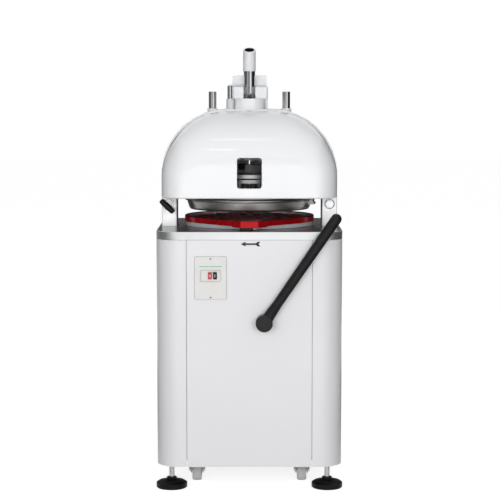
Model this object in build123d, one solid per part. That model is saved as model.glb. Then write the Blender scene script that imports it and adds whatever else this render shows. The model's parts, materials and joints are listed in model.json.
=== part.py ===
from build123d import *
import os
from math import cos, pi, radians, sin, sqrt

# Dough divider rounder for a bakery, with a hand press lever on top and a motor-driven rounding table.
# Millimetres and degrees. The front is -Y, the operator's right is +X and the floor is Z = 0.

# Clearances
RUN = 0.06            # radial running clearance of a shaft or rod in its bore
FREE = 0.5            # gap round a piece that slides or turns freely
LOOSE = 2.0           # room round a piece that passes through another

# Dividing chamber, from which the machine's width and depth follow
CHAMBER_R = 201.0     # inside radius of the chamber ring
RING_WALL = 12.5
RING_STEP = 14.5      # how far the ring's flange stands out
RING_H = 43.0
RING_BAND_H = 12.5
RING_TAPER = 7.5      # body's flare up to the flange
RING_FOOT_H = 6.0     # bevel round the ring's lower edge
RING_FOOT_IN = 4.0
RING_EDGE_R = 4.5
PLATE_OVER = 1.0      # how far the moulding plate reaches beyond the ring
ORBIT_R = 10.0        # orbit radius of the moulding plate
SIDE_CLEAR = 16.0     # from the orbiting plate to the columns
PORTION_RINGS = (4, 10, 16)

# Columns and head
COLUMN_W = 53.0
COLUMN_D = 120.0
COLUMN_H = 154.0
COLUMN_INSET = 9.0    # from the table's side edge
COLUMN_EDGE_R = 6.0
ARCH_LEG = 26.0       # straight height of the arch above the columns
ARCH_R = 229.0
ARCH_RIM = 14.0
ARCH_FOOT = 20.0
ARCH_WEB = 20.0
COVER_STEP = 7.0      # the covers stand inside the arch by this much
COVER_SHEET = 2.5
COVER_CLEAR = 39.0    # from the head ring plate to the covers' faces
COVER_DOME_R = 180.0  # rounding from the covers' faces up to their tops
COVER_SIDE_R = 80.0   # rounding from the covers' faces to their sides
COVER_FACE_R = 60.0   # upper corners of the covers' flat faces
COVER_STEPS = 18      # steps that the covers' rounding is drawn in
COVER_BOTTOM_R = 6.0
COVER_LIP = 16.0
WINDOW_W = 86.0
WINDOW_H = 106.0
WINDOW_R = 10.0
WINDOW_RISE = 34.0    # from the cover's lower edge to the window

# Cabinet and table
TABLE_LEDGE = 50.0    # from the front cover to the table's front edge
CAB_BOTTOM = 82.0
CAB_H = 776.0
CORNER_R = 80.0
SHEET = 2.0
FRONT_PANEL_W = 424.0
PANEL_SEAM = 1.5
PANEL_RETURN = 14.0
TABLE_SEAM = 1.0
TABLE_SKIRT = 27.0
TABLE_SHEET = 3.0
TABLE_EDGE_R = 2.5
BED_T = 16.0
BASE_RISE = 22.0      # from the panels' lower edge to the base plate
BASE_T = 6.0
ANGLE_LEG = 40.0
ANGLE_T = 5.0
LEG_INSET = 70.0

# Orbit table and moulding plate
ORBIT_LIFT = 1.0
ORBIT_T = 14.0
ORBIT_INSET = 2.0     # the orbit table is this much smaller than the plate
PLATE_T = 21.0
PLATE_RIM = 14.0
CUP_R = 24.0          # shallow cup under each portion
CUP_DEPTH = 4.0
PLATE_RECESS = 2.0
NOSE_REACH = 83.0     # how far the nose stands out beyond the plate's round
NOSE_W = 60.0
NOSE_DROP = 3.0       # how far the nose hangs below the plate
NOSE_EDGE_R = 3.0
PLATE_EDGE_R = 3.0
LATCH_W = 42.0
LATCH_T = 9.5
LATCH_X = -10.0
LATCH_BACK = 6.0      # from the nose's front to the latch

# Orbit drive
CRANK_PIN_R = 12.5
CRANK_DISC_R = 45.0
CRANK_SHAFT_R = 17.5
BEARING_H = 118.0
BEARING_FLANGE_T = 15.0
BEARING_FLANGE_R = 80.0
BEARING_WALL = 30.0
GUIDE_X = 150.0
GUIDE_Y = -60.0
GUIDE_PIN_R = 8.0
GUIDE_DISC_R = 26.0
GUIDE_DISC_T = 5.0
GUIDE_JOURNAL_R = 10.0
PIN_ENGAGE = 9.0
DRIVEN_R = 104.0
MOTOR_PULLEY_R = 38.0
PULLEY_W = 26.0
PULLEY_DROP = 17.0    # from the crank bearing to the driven pulley
GROOVE_W = 14.0
GROOVE_DEPTH = 10.0
BELT_GAP = 0.4
BELT_SINK = 1.5       # the belt's back lies this much below the pulley's rim
MOTOR_Y = 185.0
MOTOR_R = 70.0
MOTOR_H = 220.0
MOTOR_FIN = 6.0
MOTOR_FINS = 16
MOTOR_SHAFT_R = 12.0
SHELF_T = 8.0
SHELF_D = 160.0
SHELF_DROP = 15.0     # from the pulleys to the motor shelf

# Press
WORK_GAP = 23.0       # from the moulding plate to the raised chamber ring
RING_LIFT_GAP = 2.0   # from the raised ring to the head ring plate
HEAD_PLATE_T = 8.0
HEAD_PLATE_OVER = 3.0
EAR_D = 90.0
PRESS_RECESS = 23.0   # from the ring's lower edge up to the presser
PRESS_T = 12.0
PRESS_GAP = 1.0       # round the presser inside the ring
BLADE_T = 2.0
BLADE_H = 35.5
BLADE_SET = 0.5       # the blades' edges lie this much inside the presser
POST_R = 6.0
POST_RUN = 0.75       # round the posts in the knife carrier
STANDOFF_R = 5.0
STANDOFFS = 5
CARRIER_RISE = 38.0   # from the blades' backs to the knife carrier
CARRIER_T = 12.0
CARRIER_INSET = 5.0
PRESS_PLATE_GAP = 5.0
PRESS_PLATE_T = 12.0
FLANGE_R = 56.0
FLANGE_H = 27.0
FLANGE_NECK = 2.0
WEB_GAP = 15.0        # from the spindle's flange to the arch's web
SPINDLE_R = 18.0
SPINDLE_BOSS = 19.0
ROD_R = 13.5
ROD_X = 130.0
ROD_RISE = 62.0       # guide rods above the arch
ROD_BOSS = 14.5
BUSH_WALL = 4.5
BUSH_SEAT = 13.0
BUSH_H = 15.0
KNIFE_ROD_R = 9.0
KNIFE_ROD_X = -68.0
KNIFE_ROD_Y = -28.0
KNIFE_ROD_RISE = 86.0
KNIFE_ROD_BOSS = 12.0
SLEEVE_H = 25.0
SLEEVE_WALL = 4.2
COLLAR_H = 11.0
COLLAR_WALL = 3.8
RING_PIN_R = 4.0
RING_PIN_IN = 8.0
RING_PIN_RISE = 42.0
RING_PIN_HEAD_R = 7.0
RING_PIN_HEAD_H = 6.0
RING_PINS = 3
RING_LATCH_ANGLE = -14.0
RING_LATCH_W = 30.0
RING_LATCH_T = 9.0
RING_LATCH_H = 26.0
LOCK_X = -27.0
LOCK_DROP = 5.5       # lock pin below the top of the spindle's flange
LOCK_BALL_R = 12.0
LOCK_PIN_R = 4.0
LOCK_PIN_IN = 24.0
LOCK_STAND = 22.0

# Press lever
HOUSING_R = 55.5
HOUSING_H = 37.0
HOUSING_BLOCK_W = 130.0
HOUSING_BLOCK_Y = 15.0
CAM_R = 22.0          # base circle of the involute cam: press travel per radian of lever swing
CAM_START = 26.0      # cam's working depth below the pivot at rest
CAM_W = 16.0
CAM_GAP = 0.3
LEVER_LEAN = 25.0
LEVER_SWING = 60.0
PIVOT_RISE = 20.0     # lever pivot above the spindle housing
TRUNNION_R = 10.0
STEM_R = 20.0
STEM_DOWN = 16.0      # stem's lower end below the pivot
STEM_SIDE = 1.0       # room between the stem and each cheek
STEM_LEN = 76.0       # from the pivot to the socket
SOCKET_R = 22.0
SOCKET_LEN = 81.5
SOCKET_BORE_R = 17.0
SOCKET_DEPTH = 70.0
CHEEK_H = 41.0
CHEEK_FRONT = -14.0
YOKE_BACK_H = 41.0
YOKE_BACK_W = 123.0
YOKE_BACK_T = 16.0
YOKE_EDGE_R = 10.0
YOKE_GROOVE_H = 3.5
YOKE_GROOVE_D = 6.0

# Rounding lever
ROUND_X = 50.0
ROUND_DROP = 278.0    # lever's shaft below the cabinet's top
ROUND_ANGLE = 34.4    # lever to the right of upright at rest
ROUND_LEN = 426.0
ROUND_HUB_R = 28.5
ROUND_REACH = 46.0    # hub's front beyond the front panel
ROUND_HUB_GAP = 2.0
ROUND_ARM_OUT = 26.0  # lever's centre line beyond the front panel
GRIP_R0 = 15.8
GRIP_R1 = 18.2
GRIP_START = 18.0
ARM_R = 8.0
ROUND_SHAFT_R = 12.0
ROUND_CAP_IN = 5.0
HUB_GROOVE_R = 25.0    # middle of the ring groove in the hub's face
HUB_GROOVE_W = 2.0
HUB_GROOVE_D = 1.5
CROSS_H = 70.0
CROSS_T = 8.0
TUBE_WALL = 8.0
TUBE_FRONT = 20.0
TUBE_BACK = 22.0
COLLAR_T = 6.0
COLLAR_OVER = 5.0

# Clamp handle on the left column and cap on the right one
BOSS_Z = 85.0         # above the table
BOSS_R = 15.0
BOSS_T = 6.0
CAP_Z = 77.5          # above the table
CAP_R = 15.6          # to the corners of the hexagon
CAP_T = 9.0
CAP_BEVEL = 1.5
CLAMP_HUB_R = 11.0
CLAMP_HUB_L = 22.0
CLAMP_OFFSET = 14.5   # from the hub's axis to the bar's
CLAMP_HALF = 31.0
CLAMP_SHIFT = 5.0     # bar's middle along the bar from the hub
CLAMP_R = 8.3
CLAMP_MID_R = 11.2
CLAMP_END_R = 5.0
CLAMP_TILT = 43.5
CLAMP_STUD_R = 5.0
CLAMP_STUD_IN = 20.0

# Switch
SWITCH_INSET = 81.0   # switch plate's centre from the front panel's left edge
SWITCH_DROP = 128.0   # switch plate's centre below the cabinet's top
SWITCH_W = 108.0
SWITCH_H = 145.0
SWITCH_T = 4.0
SWITCH_R = 5.0
SWITCH_WIN_W = 66.0
SWITCH_WIN_H = 36.0
SWITCH_WIN_RISE = 8.0
SWITCH_WIN_DEPTH = 2.5
SWITCH_BOX_W = 84.0
SWITCH_BOX_H = 110.0
SWITCH_BOX_D = 56.0
BUTTON_W = 12.0
BUTTON_H = 24.0
BUTTON_OUT = 3.0      # buttons beyond the switch plate
BUTTON_LEN = 19.0
BUTTON_TRAVEL = 4.0
BUTTON_GAP = 0.4
STOP_X = -2.0         # from the switch plate's centre line
START_X = 15.0

# Feet, casters and wheels
FOOT_X = 267.0
FOOT_INSET = 55.0     # foot centre behind the front panel
FOOT_R = 53.0
FOOT_H = 37.0
FOOT_EDGE = 3.5
FOOT_SOLE_H = 18.0
FOOT_SHOULDER_R = 44.0
FOOT_SHOULDER_H = 24.0
FOOT_CONE_H = 29.0
FOOT_HUB_R = 17.0
FOOT_STEM_R = 8.5
FOOT_STEM_IN = 22.0
FOOT_STEM_OVER = 22.0
NUT_R = 13.0
NUT_H = 10.0
CASTER_X = 183.0
CASTER_Y = 183.0
CASTER_TRAIL = 25.0
WHEEL_R = 38.0
WHEEL_W = 33.0
WHEEL_EDGE_R = 5.0
AXLE_R = 5.0
FORK_GAP = 2.0
FORK_T = 3.5
FORK_CROWN_T = 11.0
FORK_CROWN_R = 31.0
FORK_EYE_R = 12.0
RACE_T = 8.0
RACE_R = 28.0
CASTER_PLATE_T = 4.0
CASTER_PLATE_W = 70.0
KING_R = 6.0
KING_IN = 9.0

# Back panel and fasteners
LOUVRE_W = 120.0
LOUVRE_H = 7.0
LOUVRE_PITCH = 22.0
LOUVRES = 8
LOUVRE_Z = 560.0
GLAND_INSET = 52.0    # from the rear panel's edge
GLAND_Z = 180.0
GLAND_R = 14.0
GLAND_BORE_R = 6.0
GLAND_FLANGE_R = 18.0
GLAND_FLANGE_T = 8.0
GLAND_IN = 10.0
SCREW_R = 4.5
SCREW_T = 2.4
SCREW_INSET = 14.0
BOLT_R = 7.0
BOLT_HEAD_R = 12.0
BOLT_HEAD_H = 9.0
BOLT_UP = 34.0
BOLT_PITCH = 70.0

# Widths and depths that follow
RING_OUT = CHAMBER_R + RING_WALL
RING_TOP_R = RING_OUT + RING_STEP
PLATE_R = RING_TOP_R + PLATE_OVER
COLUMN_IN_X = PLATE_R + ORBIT_R + SIDE_CLEAR
COLUMN_OUT_X = COLUMN_IN_X + COLUMN_W
COLUMN_X = (COLUMN_IN_X + COLUMN_OUT_X) / 2
CAB_W = 2 * (COLUMN_OUT_X + COLUMN_INSET)
HEAD_PLATE_R = RING_TOP_R + HEAD_PLATE_OVER
COVER_FACE = HEAD_PLATE_R + COVER_CLEAR
CAB_D = 2 * (COVER_FACE + TABLE_LEDGE)
FRONT_Y = -CAB_D / 2
BACK_Y = CAB_D / 2
PLATE_Y = ORBIT_R
SWITCH_X = SWITCH_INSET - FRONT_PANEL_W / 2
GLAND_X = GLAND_INSET - FRONT_PANEL_W / 2

# Heights that follow
CAB_TOP = CAB_BOTTOM + CAB_H
SWITCH_Z = CAB_TOP - SWITCH_DROP
ROUND_Z = CAB_TOP - ROUND_DROP
SKIRT_Z = CAB_TOP + TABLE_SEAM
TABLE_Z = SKIRT_Z + TABLE_SKIRT
BED_TOP = TABLE_Z - TABLE_SHEET
BED_Z = BED_TOP - BED_T
BASE_Z = CAB_BOTTOM + BASE_RISE
ORBIT_Z = TABLE_Z + ORBIT_LIFT
ORBIT_TOP = ORBIT_Z + ORBIT_T
PLATE_TOP = ORBIT_TOP + PLATE_T
RING_Z = PLATE_TOP + WORK_GAP
RING_TOP = RING_Z + RING_H
HEAD_PLATE_Z = RING_TOP + RING_LIFT_GAP
HEAD_PLATE_TOP = HEAD_PLATE_Z + HEAD_PLATE_T
COVER_Z = (HEAD_PLATE_Z + HEAD_PLATE_TOP) / 2
PRESS_Z = RING_Z + PRESS_RECESS
BLADE_Z = PRESS_Z + BLADE_SET
BLADE_TOP = BLADE_Z + BLADE_H
CARRIER_Z = BLADE_TOP + CARRIER_RISE
CARRIER_TOP = CARRIER_Z + CARRIER_T
PRESS_PLATE_Z = CARRIER_TOP + PRESS_PLATE_GAP
PRESS_PLATE_TOP = PRESS_PLATE_Z + PRESS_PLATE_T
FLANGE_TOP = PRESS_PLATE_TOP + FLANGE_NECK + FLANGE_H
LOCK_Z = FLANGE_TOP - LOCK_DROP
WEB_Z = FLANGE_TOP + WEB_GAP
COLUMN_TOP = TABLE_Z + COLUMN_H
ARCH_CENTRE = COLUMN_TOP + ARCH_LEG
ARCH_TOP = ARCH_CENTRE + ARCH_R
HOUSING_TOP = ARCH_TOP + HOUSING_H
PIVOT_Y = CAM_R
PIVOT_Z = HOUSING_TOP + PIVOT_RISE
STEM_TOP = PIVOT_Z + STEM_LEN
STEM_SWEEP = sqrt(STEM_R ** 2 + STEM_DOWN ** 2)
CHEEK_TOP = HOUSING_TOP + CHEEK_H
SPINDLE_TOP = PIVOT_Z - CAM_START - CAM_GAP
BEARING_Z = BED_Z - BEARING_H
PULLEY_TOP = BEARING_Z - PULLEY_DROP
PULLEY_Z = PULLEY_TOP - PULLEY_W
SHELF_TOP = PULLEY_Z - SHELF_DROP
SHELF_Z = SHELF_TOP - SHELF_T

# Presser and knife layout: every portion has the same area
PRESS_R = CHAMBER_R - PRESS_GAP
CARRIER_R = PRESS_R - CARRIER_INSET
PORTIONS = sum(PORTION_RINGS)
SLOT_T = BLADE_T + 2 * FREE


def block(x0, x1, y0, y1, z0, z1):
    """Box between two corners."""
    middle = Pos((x0 + x1) / 2, (y0 + y1) / 2, (z0 + z1) / 2)
    return middle * Box(x1 - x0, y1 - y0, z1 - z0)


def rod_z(x, y, z0, z1, radius):
    """Upright cylinder."""
    return Pos(x, y, (z0 + z1) / 2) * Cylinder(radius, z1 - z0)


def rod_y(x, z, y0, y1, radius):
    """Cylinder from front to back."""
    return Pos(x, (y0 + y1) / 2, z) * Rot(X=90) * Cylinder(radius, y1 - y0)


def rod_x(y, z, x0, x1, radius):
    """Cylinder from side to side."""
    return Pos((x0 + x1) / 2, y, z) * Rot(Y=90) * Cylinder(radius, x1 - x0)


def cabinet_prism(inset, z0, z1):
    """Prism of the cabinet's rounded plan, drawn in by an inset."""
    plan = RectangleRounded(CAB_W - 2 * inset, CAB_D - 2 * inset, CORNER_R - inset)
    return extrude(Pos(0, 0, z0) * plan, amount=z1 - z0)


def turned(points):
    """Solid of revolution about Z from (radius, height) points."""
    outline = Polyline(*points, close=True)
    return revolve(Plane.XZ * make_face(outline), axis=Axis.Z)


def arch_face(half, top, radius, bottom):
    """Face of an arched outline seen from the front."""
    flat = half - radius
    spring = top - radius
    outline = [
        Line((-half, bottom), (half, bottom)),
        Line((half, bottom), (half, spring)),
        CenterArc((flat, spring), radius, 0, 90),
        Line((flat, top), (-flat, top)),
        CenterArc((-flat, spring), radius, 90, 90),
        Line((-half, spring), (-half, bottom)),
    ]
    return make_face(outline)


def arch_prism(inset, y0, y1, bottom):
    """Prism of the head's arched front outline, drawn in by an inset."""
    face = arch_face(COLUMN_OUT_X - inset, ARCH_TOP - inset, ARCH_R - inset, bottom)
    return extrude(Plane.XZ.offset(-y1) * face, amount=y1 - y0)


def on_socket(length):
    """Place on the press lever's leaning socket, this far from the bar's top, with Z along the socket."""
    return Pos(0, PIVOT_Y, STEM_TOP) * Rot(X=LEVER_LEAN) * Pos(0, 0, length)


def on_rounding_arm(length):
    """Place on the rounding lever's centre line, this far from its shaft, with Z along the lever."""
    return Pos(ROUND_X, FRONT_Y - ROUND_ARM_OUT, ROUND_Z) * Rot(Y=ROUND_ANGLE) * Pos(0, 0, length)


def mirrored(shape):
    """The same piece on the other side of the machine."""
    return mirror(shape, about=Plane.YZ)


def base_plate():
    plate = cabinet_prism(SHEET, BASE_Z, BASE_Z + BASE_T)
    for side in (-1, 1):
        plate -= rod_z(side * FOOT_X, FOOT_Y, BASE_Z, BASE_Z + BASE_T, FOOT_STEM_R + RUN)
    return plate


def frame_legs():
    """Four angle legs between the base plate and the bed plate."""
    half_x = CAB_W / 2 - LEG_INSET
    half_y = CAB_D / 2 - LEG_INSET
    z0 = BASE_Z + BASE_T
    legs = Part()
    for sx in (-1, 1):
        for sy in (-1, 1):
            inner_x = half_x - ANGLE_LEG
            inner_y = half_y - ANGLE_LEG
            leg = block(inner_x, half_x, half_y - ANGLE_T, half_y, z0, BED_Z)
            leg += block(half_x - ANGLE_T, half_x, inner_y, half_y, z0, BED_Z)
            if sx < 0:
                leg = mirror(leg, about=Plane.YZ)
            if sy < 0:
                leg = mirror(leg, about=Plane.XZ)
            legs += leg
    return legs


def base_frame():
    half_x = CAB_W / 2 - LEG_INSET
    half_y = CAB_D / 2 - LEG_INSET
    rail_z = BED_Z - ANGLE_LEG
    frame = frame_legs()
    for side in (-1, 1):
        y_rail = sorted((side * half_y, side * (half_y - ANGLE_T)))
        x_rail = sorted((side * half_x, side * (half_x - ANGLE_T)))
        frame += block(-half_x, half_x, y_rail[0], y_rail[1], rail_z, BED_Z)
        frame += block(x_rail[0], x_rail[1], -half_y, half_y, rail_z, BED_Z)
    cross_y = -half_y
    cross_z = ROUND_Z - CROSS_H / 2
    frame += block(-half_x, half_x, cross_y, cross_y + CROSS_T, cross_z, cross_z + CROSS_H)
    tube_r = ROUND_SHAFT_R + TUBE_WALL
    frame += rod_y(ROUND_X, ROUND_Z, cross_y - TUBE_FRONT, cross_y + CROSS_T + TUBE_BACK, tube_r)
    frame -= rod_y(ROUND_X, ROUND_Z, FRONT_Y, 0, ROUND_SHAFT_R + RUN)
    shelf = block(-half_x, half_x, half_y - SHELF_D, half_y, SHELF_Z, SHELF_TOP)
    shelf -= rod_z(0, MOTOR_Y, SHELF_Z, SHELF_TOP, MOTOR_SHAFT_R + LOOSE)
    return frame + shelf


def bolt_places():
    """Where the columns are bolted down."""
    places = []
    for side in (-1, 1):
        for end in (-1, 1):
            places.append((side * COLUMN_X, end * BOLT_PITCH / 2))
    return places


def guide_places():
    """Centres of the two guide cranks."""
    return [(-GUIDE_X, GUIDE_Y), (GUIDE_X, GUIDE_Y)]


def bed_plate():
    bed = cabinet_prism(TABLE_SHEET, BED_Z, BED_TOP)
    bed -= rod_z(0, 0, BED_Z, BED_TOP, CRANK_DISC_R + LOOSE)
    for x, y in guide_places():
        bed -= rod_z(x, y, BED_TOP - GUIDE_DISC_T - 2 * FREE, BED_TOP, GUIDE_DISC_R + LOOSE)
        bed -= rod_z(x, y, BED_Z, BED_TOP, GUIDE_JOURNAL_R + RUN)
    for x, y in bolt_places():
        bed -= rod_z(x, y, BED_Z, BED_TOP, BOLT_R)
    return bed


def table_tray():
    tray = cabinet_prism(0, SKIRT_Z, TABLE_Z)
    tray = fillet(tray.faces().sort_by(Axis.Z)[-1].edges(), TABLE_EDGE_R)
    tray -= cabinet_prism(TABLE_SHEET, SKIRT_Z, BED_TOP)
    tray -= rod_z(0, 0, BED_TOP, TABLE_Z, ORBIT_R + CRANK_PIN_R + LOOSE)
    for x, y in guide_places():
        tray -= rod_z(x, y, BED_TOP, TABLE_Z, ORBIT_R + GUIDE_PIN_R + LOOSE)
    for x, y in bolt_places():
        tray -= rod_z(x, y, BED_TOP, TABLE_Z, BOLT_R)
    return tray


def right_side_panel():
    panel = cabinet_prism(0, CAB_BOTTOM, CAB_TOP) - cabinet_prism(SHEET, CAB_BOTTOM, CAB_TOP)
    edge = FRONT_PANEL_W / 2 + PANEL_SEAM
    return panel - block(-CAB_W, edge, -CAB_D, CAB_D, CAB_BOTTOM, CAB_TOP)


def flat_panel():
    """Front panel blank with folded side edges."""
    half = FRONT_PANEL_W / 2
    fold_z = BASE_Z + BASE_T + LOOSE
    panel = block(-half, half, FRONT_Y, FRONT_Y + SHEET, CAB_BOTTOM, CAB_TOP)
    for x in (-half, half - SHEET):
        panel += block(x, x + SHEET, FRONT_Y, FRONT_Y + PANEL_RETURN, fold_z, CAB_TOP)
    return panel


def front_panel():
    panel = flat_panel()
    panel -= rod_y(ROUND_X, ROUND_Z, FRONT_Y, FRONT_Y + SHEET, ROUND_SHAFT_R + LOOSE)
    half_w = SWITCH_BOX_W / 2
    half_h = SWITCH_BOX_H / 2
    opening = block(SWITCH_X - half_w, SWITCH_X + half_w, FRONT_Y, FRONT_Y + SHEET,
                    SWITCH_Z - half_h, SWITCH_Z + half_h)
    return panel - opening


def rear_panel():
    panel = mirror(flat_panel(), about=Plane.XZ)
    for row in range(LOUVRES):
        z = LOUVRE_Z + row * LOUVRE_PITCH
        for side in (-1, 1):
            x = side * (FRONT_PANEL_W / 4 - SCREW_INSET / 2)
            slot = extrude(SlotOverall(LOUVRE_W, LOUVRE_H), SHEET, both=True)
            panel -= Pos(x, BACK_Y, z) * Rot(X=90) * slot
    return panel - rod_y(GLAND_X, GLAND_Z, BACK_Y - SHEET, BACK_Y, GLAND_R)


def right_column():
    column = block(COLUMN_IN_X, COLUMN_OUT_X, -COLUMN_D / 2, COLUMN_D / 2, TABLE_Z, COLUMN_TOP)
    column = fillet(column.edges().filter_by(Axis.Z), COLUMN_EDGE_R)
    for x, y in bolt_places():
        column -= rod_z(x, y, TABLE_Z, BED_Z + BOLT_UP, BOLT_R)
    return column


def left_column():
    column = mirrored(right_column())
    return column - rod_y(-COLUMN_X, TABLE_Z + BOSS_Z, -COLUMN_D / 2, CLAMP_STUD_IN - COLUMN_D / 2,
                          CLAMP_STUD_R + RUN)


def head_arch():
    y0 = -COLUMN_D / 2
    y1 = COLUMN_D / 2
    inner = arch_prism(ARCH_RIM, y0, y1, COLUMN_TOP)
    arch = arch_prism(0, y0, y1, COLUMN_TOP) - inner
    web_space = block(-COLUMN_OUT_X, COLUMN_OUT_X, -ARCH_WEB / 2, ARCH_WEB / 2, WEB_Z, ARCH_TOP)
    arch += inner & web_space
    feet = block(COLUMN_IN_X, COLUMN_OUT_X - ARCH_RIM, y0, y1, COLUMN_TOP, COLUMN_TOP + ARCH_FOOT)
    arch += feet
    arch += mirrored(feet)
    bosses = rod_z(0, 0, WEB_Z, ARCH_TOP, SPINDLE_R + SPINDLE_BOSS)
    bosses += rod_z(KNIFE_ROD_X, KNIFE_ROD_Y, WEB_Z, ARCH_TOP, KNIFE_ROD_R + KNIFE_ROD_BOSS)
    for side in (-1, 1):
        bosses += rod_z(side * ROD_X, 0, WEB_Z, ARCH_TOP, ROD_R + ROD_BOSS)
    arch += bosses & arch_prism(0, y0, y1, COLUMN_TOP)
    arch -= rod_z(0, 0, WEB_Z, ARCH_TOP, SPINDLE_R + RUN)
    arch -= rod_z(KNIFE_ROD_X, KNIFE_ROD_Y, WEB_Z, ARCH_TOP, KNIFE_ROD_R + RUN)
    for side in (-1, 1):
        arch -= rod_z(side * ROD_X, 0, WEB_Z, ARCH_TOP, ROD_R + RUN)
        arch -= rod_z(side * ROD_X, 0, ARCH_TOP - BUSH_SEAT, ARCH_TOP, ROD_R + BUSH_WALL)
    return arch


def cover_dome(inset, bottom):
    """Rounded front of the cover's form, drawn through sections from its straight part to its flat face."""
    dome_r = COVER_DOME_R - inset
    side_r = COVER_SIDE_R - inset
    half = COLUMN_OUT_X - COVER_STEP - inset
    top = ARCH_TOP - COVER_STEP - inset
    radius = ARCH_R - COVER_STEP - inset
    face_r = COVER_FACE_R - inset
    sections = []
    for step in range(COVER_STEPS + 1):
        turn = pi / 2 * step / COVER_STEPS
        depth = dome_r * sin(turn)
        drop = dome_r * (1 - cos(turn))
        bend = max(0, depth - dome_r + side_r) / side_r
        narrowing = side_r * (1 - sqrt(max(0, 1 - bend ** 2)))
        corner_r = radius - (radius - face_r) * drop / dome_r
        face = arch_face(half - narrowing, top - drop, corner_r, bottom)
        sections.append(Plane.XZ.offset(COVER_FACE - COVER_DOME_R + depth) * face)
    return loft(sections)


def cover_form(inset, bottom, y_open):
    """Solid form of the front cover, drawn in by an inset, up to the plane where it is open."""
    low = bottom - COVER_LIP
    form = arch_prism(COVER_STEP + inset, COVER_DOME_R - COVER_FACE, y_open, low) + cover_dome(inset, low)
    form -= block(-COLUMN_OUT_X, COLUMN_OUT_X, -COVER_FACE, y_open, low, bottom)
    under = form.faces().sort_by(Axis.Z)[0]
    outer = [edge for edge in under.edges() if edge.center().Y < y_open - FREE]
    return fillet(outer, COVER_BOTTOM_R - inset)


def cover_shell():
    y_open = -COLUMN_D / 2
    shell = cover_form(0, COVER_Z, y_open)
    shell -= cover_form(COVER_SHEET, COVER_Z + COVER_SHEET, y_open)
    half = COLUMN_OUT_X - COVER_STEP - COVER_LIP
    mouth = RectangleRounded(2 * half, 2 * (COVER_FACE - COVER_LIP), COVER_SIDE_R - COVER_LIP)
    mouth = extrude(Pos(0, 0, COVER_Z) * mouth, amount=COVER_SHEET)
    return shell - (mouth & block(-half, half, -COVER_FACE, y_open, COVER_Z, COVER_Z + COVER_SHEET))


def front_cover():
    window = RectangleRounded(WINDOW_W, WINDOW_H, WINDOW_R)
    window_z = COVER_Z + WINDOW_RISE + WINDOW_H / 2
    window = Plane.XZ.offset(COVER_FACE - COVER_SIDE_R) * Pos(0, window_z) * window
    return cover_shell() - extrude(window, amount=COVER_SIDE_R)


def rear_cover():
    return mirror(cover_shell(), about=Plane.XZ)


def spindle_housing():
    housing = rod_z(0, 0, ARCH_TOP, HOUSING_TOP, HOUSING_R)
    half = HOUSING_BLOCK_W / 2
    housing += block(-half, half, HOUSING_BLOCK_Y, COLUMN_D / 2, ARCH_TOP, HOUSING_TOP)
    housing -= rod_z(0, 0, ARCH_TOP, HOUSING_TOP, SPINDLE_R + FREE)
    cam_reach = cam_point(CAM_END)
    reach = sqrt(cam_reach[0] ** 2 + cam_reach[1] ** 2) + LOOSE
    slot = CAM_W / 2 + LOOSE
    housing -= block(-slot, slot, PIVOT_Y - reach, PIVOT_Y + STEM_SWEEP, ARCH_TOP + LOOSE, HOUSING_TOP)
    gap = STEM_R + STEM_SIDE
    pocket = rod_x(PIVOT_Y, PIVOT_Z, -gap, gap, STEM_SWEEP + LOOSE)
    return housing - pocket


def lever_yoke():
    half = HOUSING_BLOCK_W / 2
    gap = STEM_R + STEM_SIDE
    back = COLUMN_D / 2
    yoke = block(-half, half, CHEEK_FRONT, back, HOUSING_TOP, CHEEK_TOP)
    yoke = fillet(yoke.edges().filter_by(Axis.Z).group_by(Axis.Y)[0], YOKE_EDGE_R)
    yoke_back = block(-YOKE_BACK_W / 2, YOKE_BACK_W / 2, back - YOKE_BACK_T, back, CHEEK_TOP,
                      CHEEK_TOP + YOKE_BACK_H)
    yoke_back = fillet(yoke_back.edges().filter_by(Axis.Y).group_by(Axis.Z)[-1], YOKE_EDGE_R)
    groove_y = back - YOKE_BACK_T + YOKE_GROOVE_D
    yoke_back -= block(-half, half, CHEEK_FRONT, groove_y, CHEEK_TOP, CHEEK_TOP + YOKE_GROOVE_H)
    yoke += yoke_back
    yoke -= block(-gap, gap, CHEEK_FRONT, PIVOT_Y, HOUSING_TOP, CHEEK_TOP)
    yoke -= rod_x(PIVOT_Y, PIVOT_Z, -gap, gap, STEM_SWEEP + LOOSE)
    yoke -= block(-gap, gap, PIVOT_Y, PIVOT_Y + STEM_SWEEP + LOOSE, PIVOT_Z, CHEEK_TOP)
    return yoke - rod_x(PIVOT_Y, PIVOT_Z, -half, half, TRUNNION_R + RUN)


def rod_bushes():
    """Nylon bushes of the guide rods and the taller collared one of the knife rod."""
    bushes = []
    seat = ARCH_TOP - BUSH_SEAT
    for side in (-1, 1):
        bush = rod_z(side * ROD_X, 0, seat, seat + BUSH_H, ROD_R + BUSH_WALL)
        bushes.append(bush - rod_z(side * ROD_X, 0, seat, seat + BUSH_H, ROD_R + RUN))
    collar_z = ARCH_TOP + SLEEVE_H
    sleeve = rod_z(KNIFE_ROD_X, KNIFE_ROD_Y, ARCH_TOP, collar_z, KNIFE_ROD_R + SLEEVE_WALL)
    sleeve += rod_z(KNIFE_ROD_X, KNIFE_ROD_Y, collar_z, collar_z + COLLAR_H, KNIFE_ROD_R + COLLAR_WALL)
    sleeve -= rod_z(KNIFE_ROD_X, KNIFE_ROD_Y, ARCH_TOP, collar_z + COLLAR_H, KNIFE_ROD_R + RUN)
    bushes.append(sleeve)
    return Compound(bushes)


def ring_pin_places():
    """Centres of the chamber ring's guide pins, in the ring's wall."""
    radius = (CHAMBER_R + RING_TOP_R) / 2
    places = []
    for pin in range(RING_PINS):
        angle = radians(90 + pin * 360 / RING_PINS)
        places.append((radius * cos(angle), radius * sin(angle)))
    return places


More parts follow.
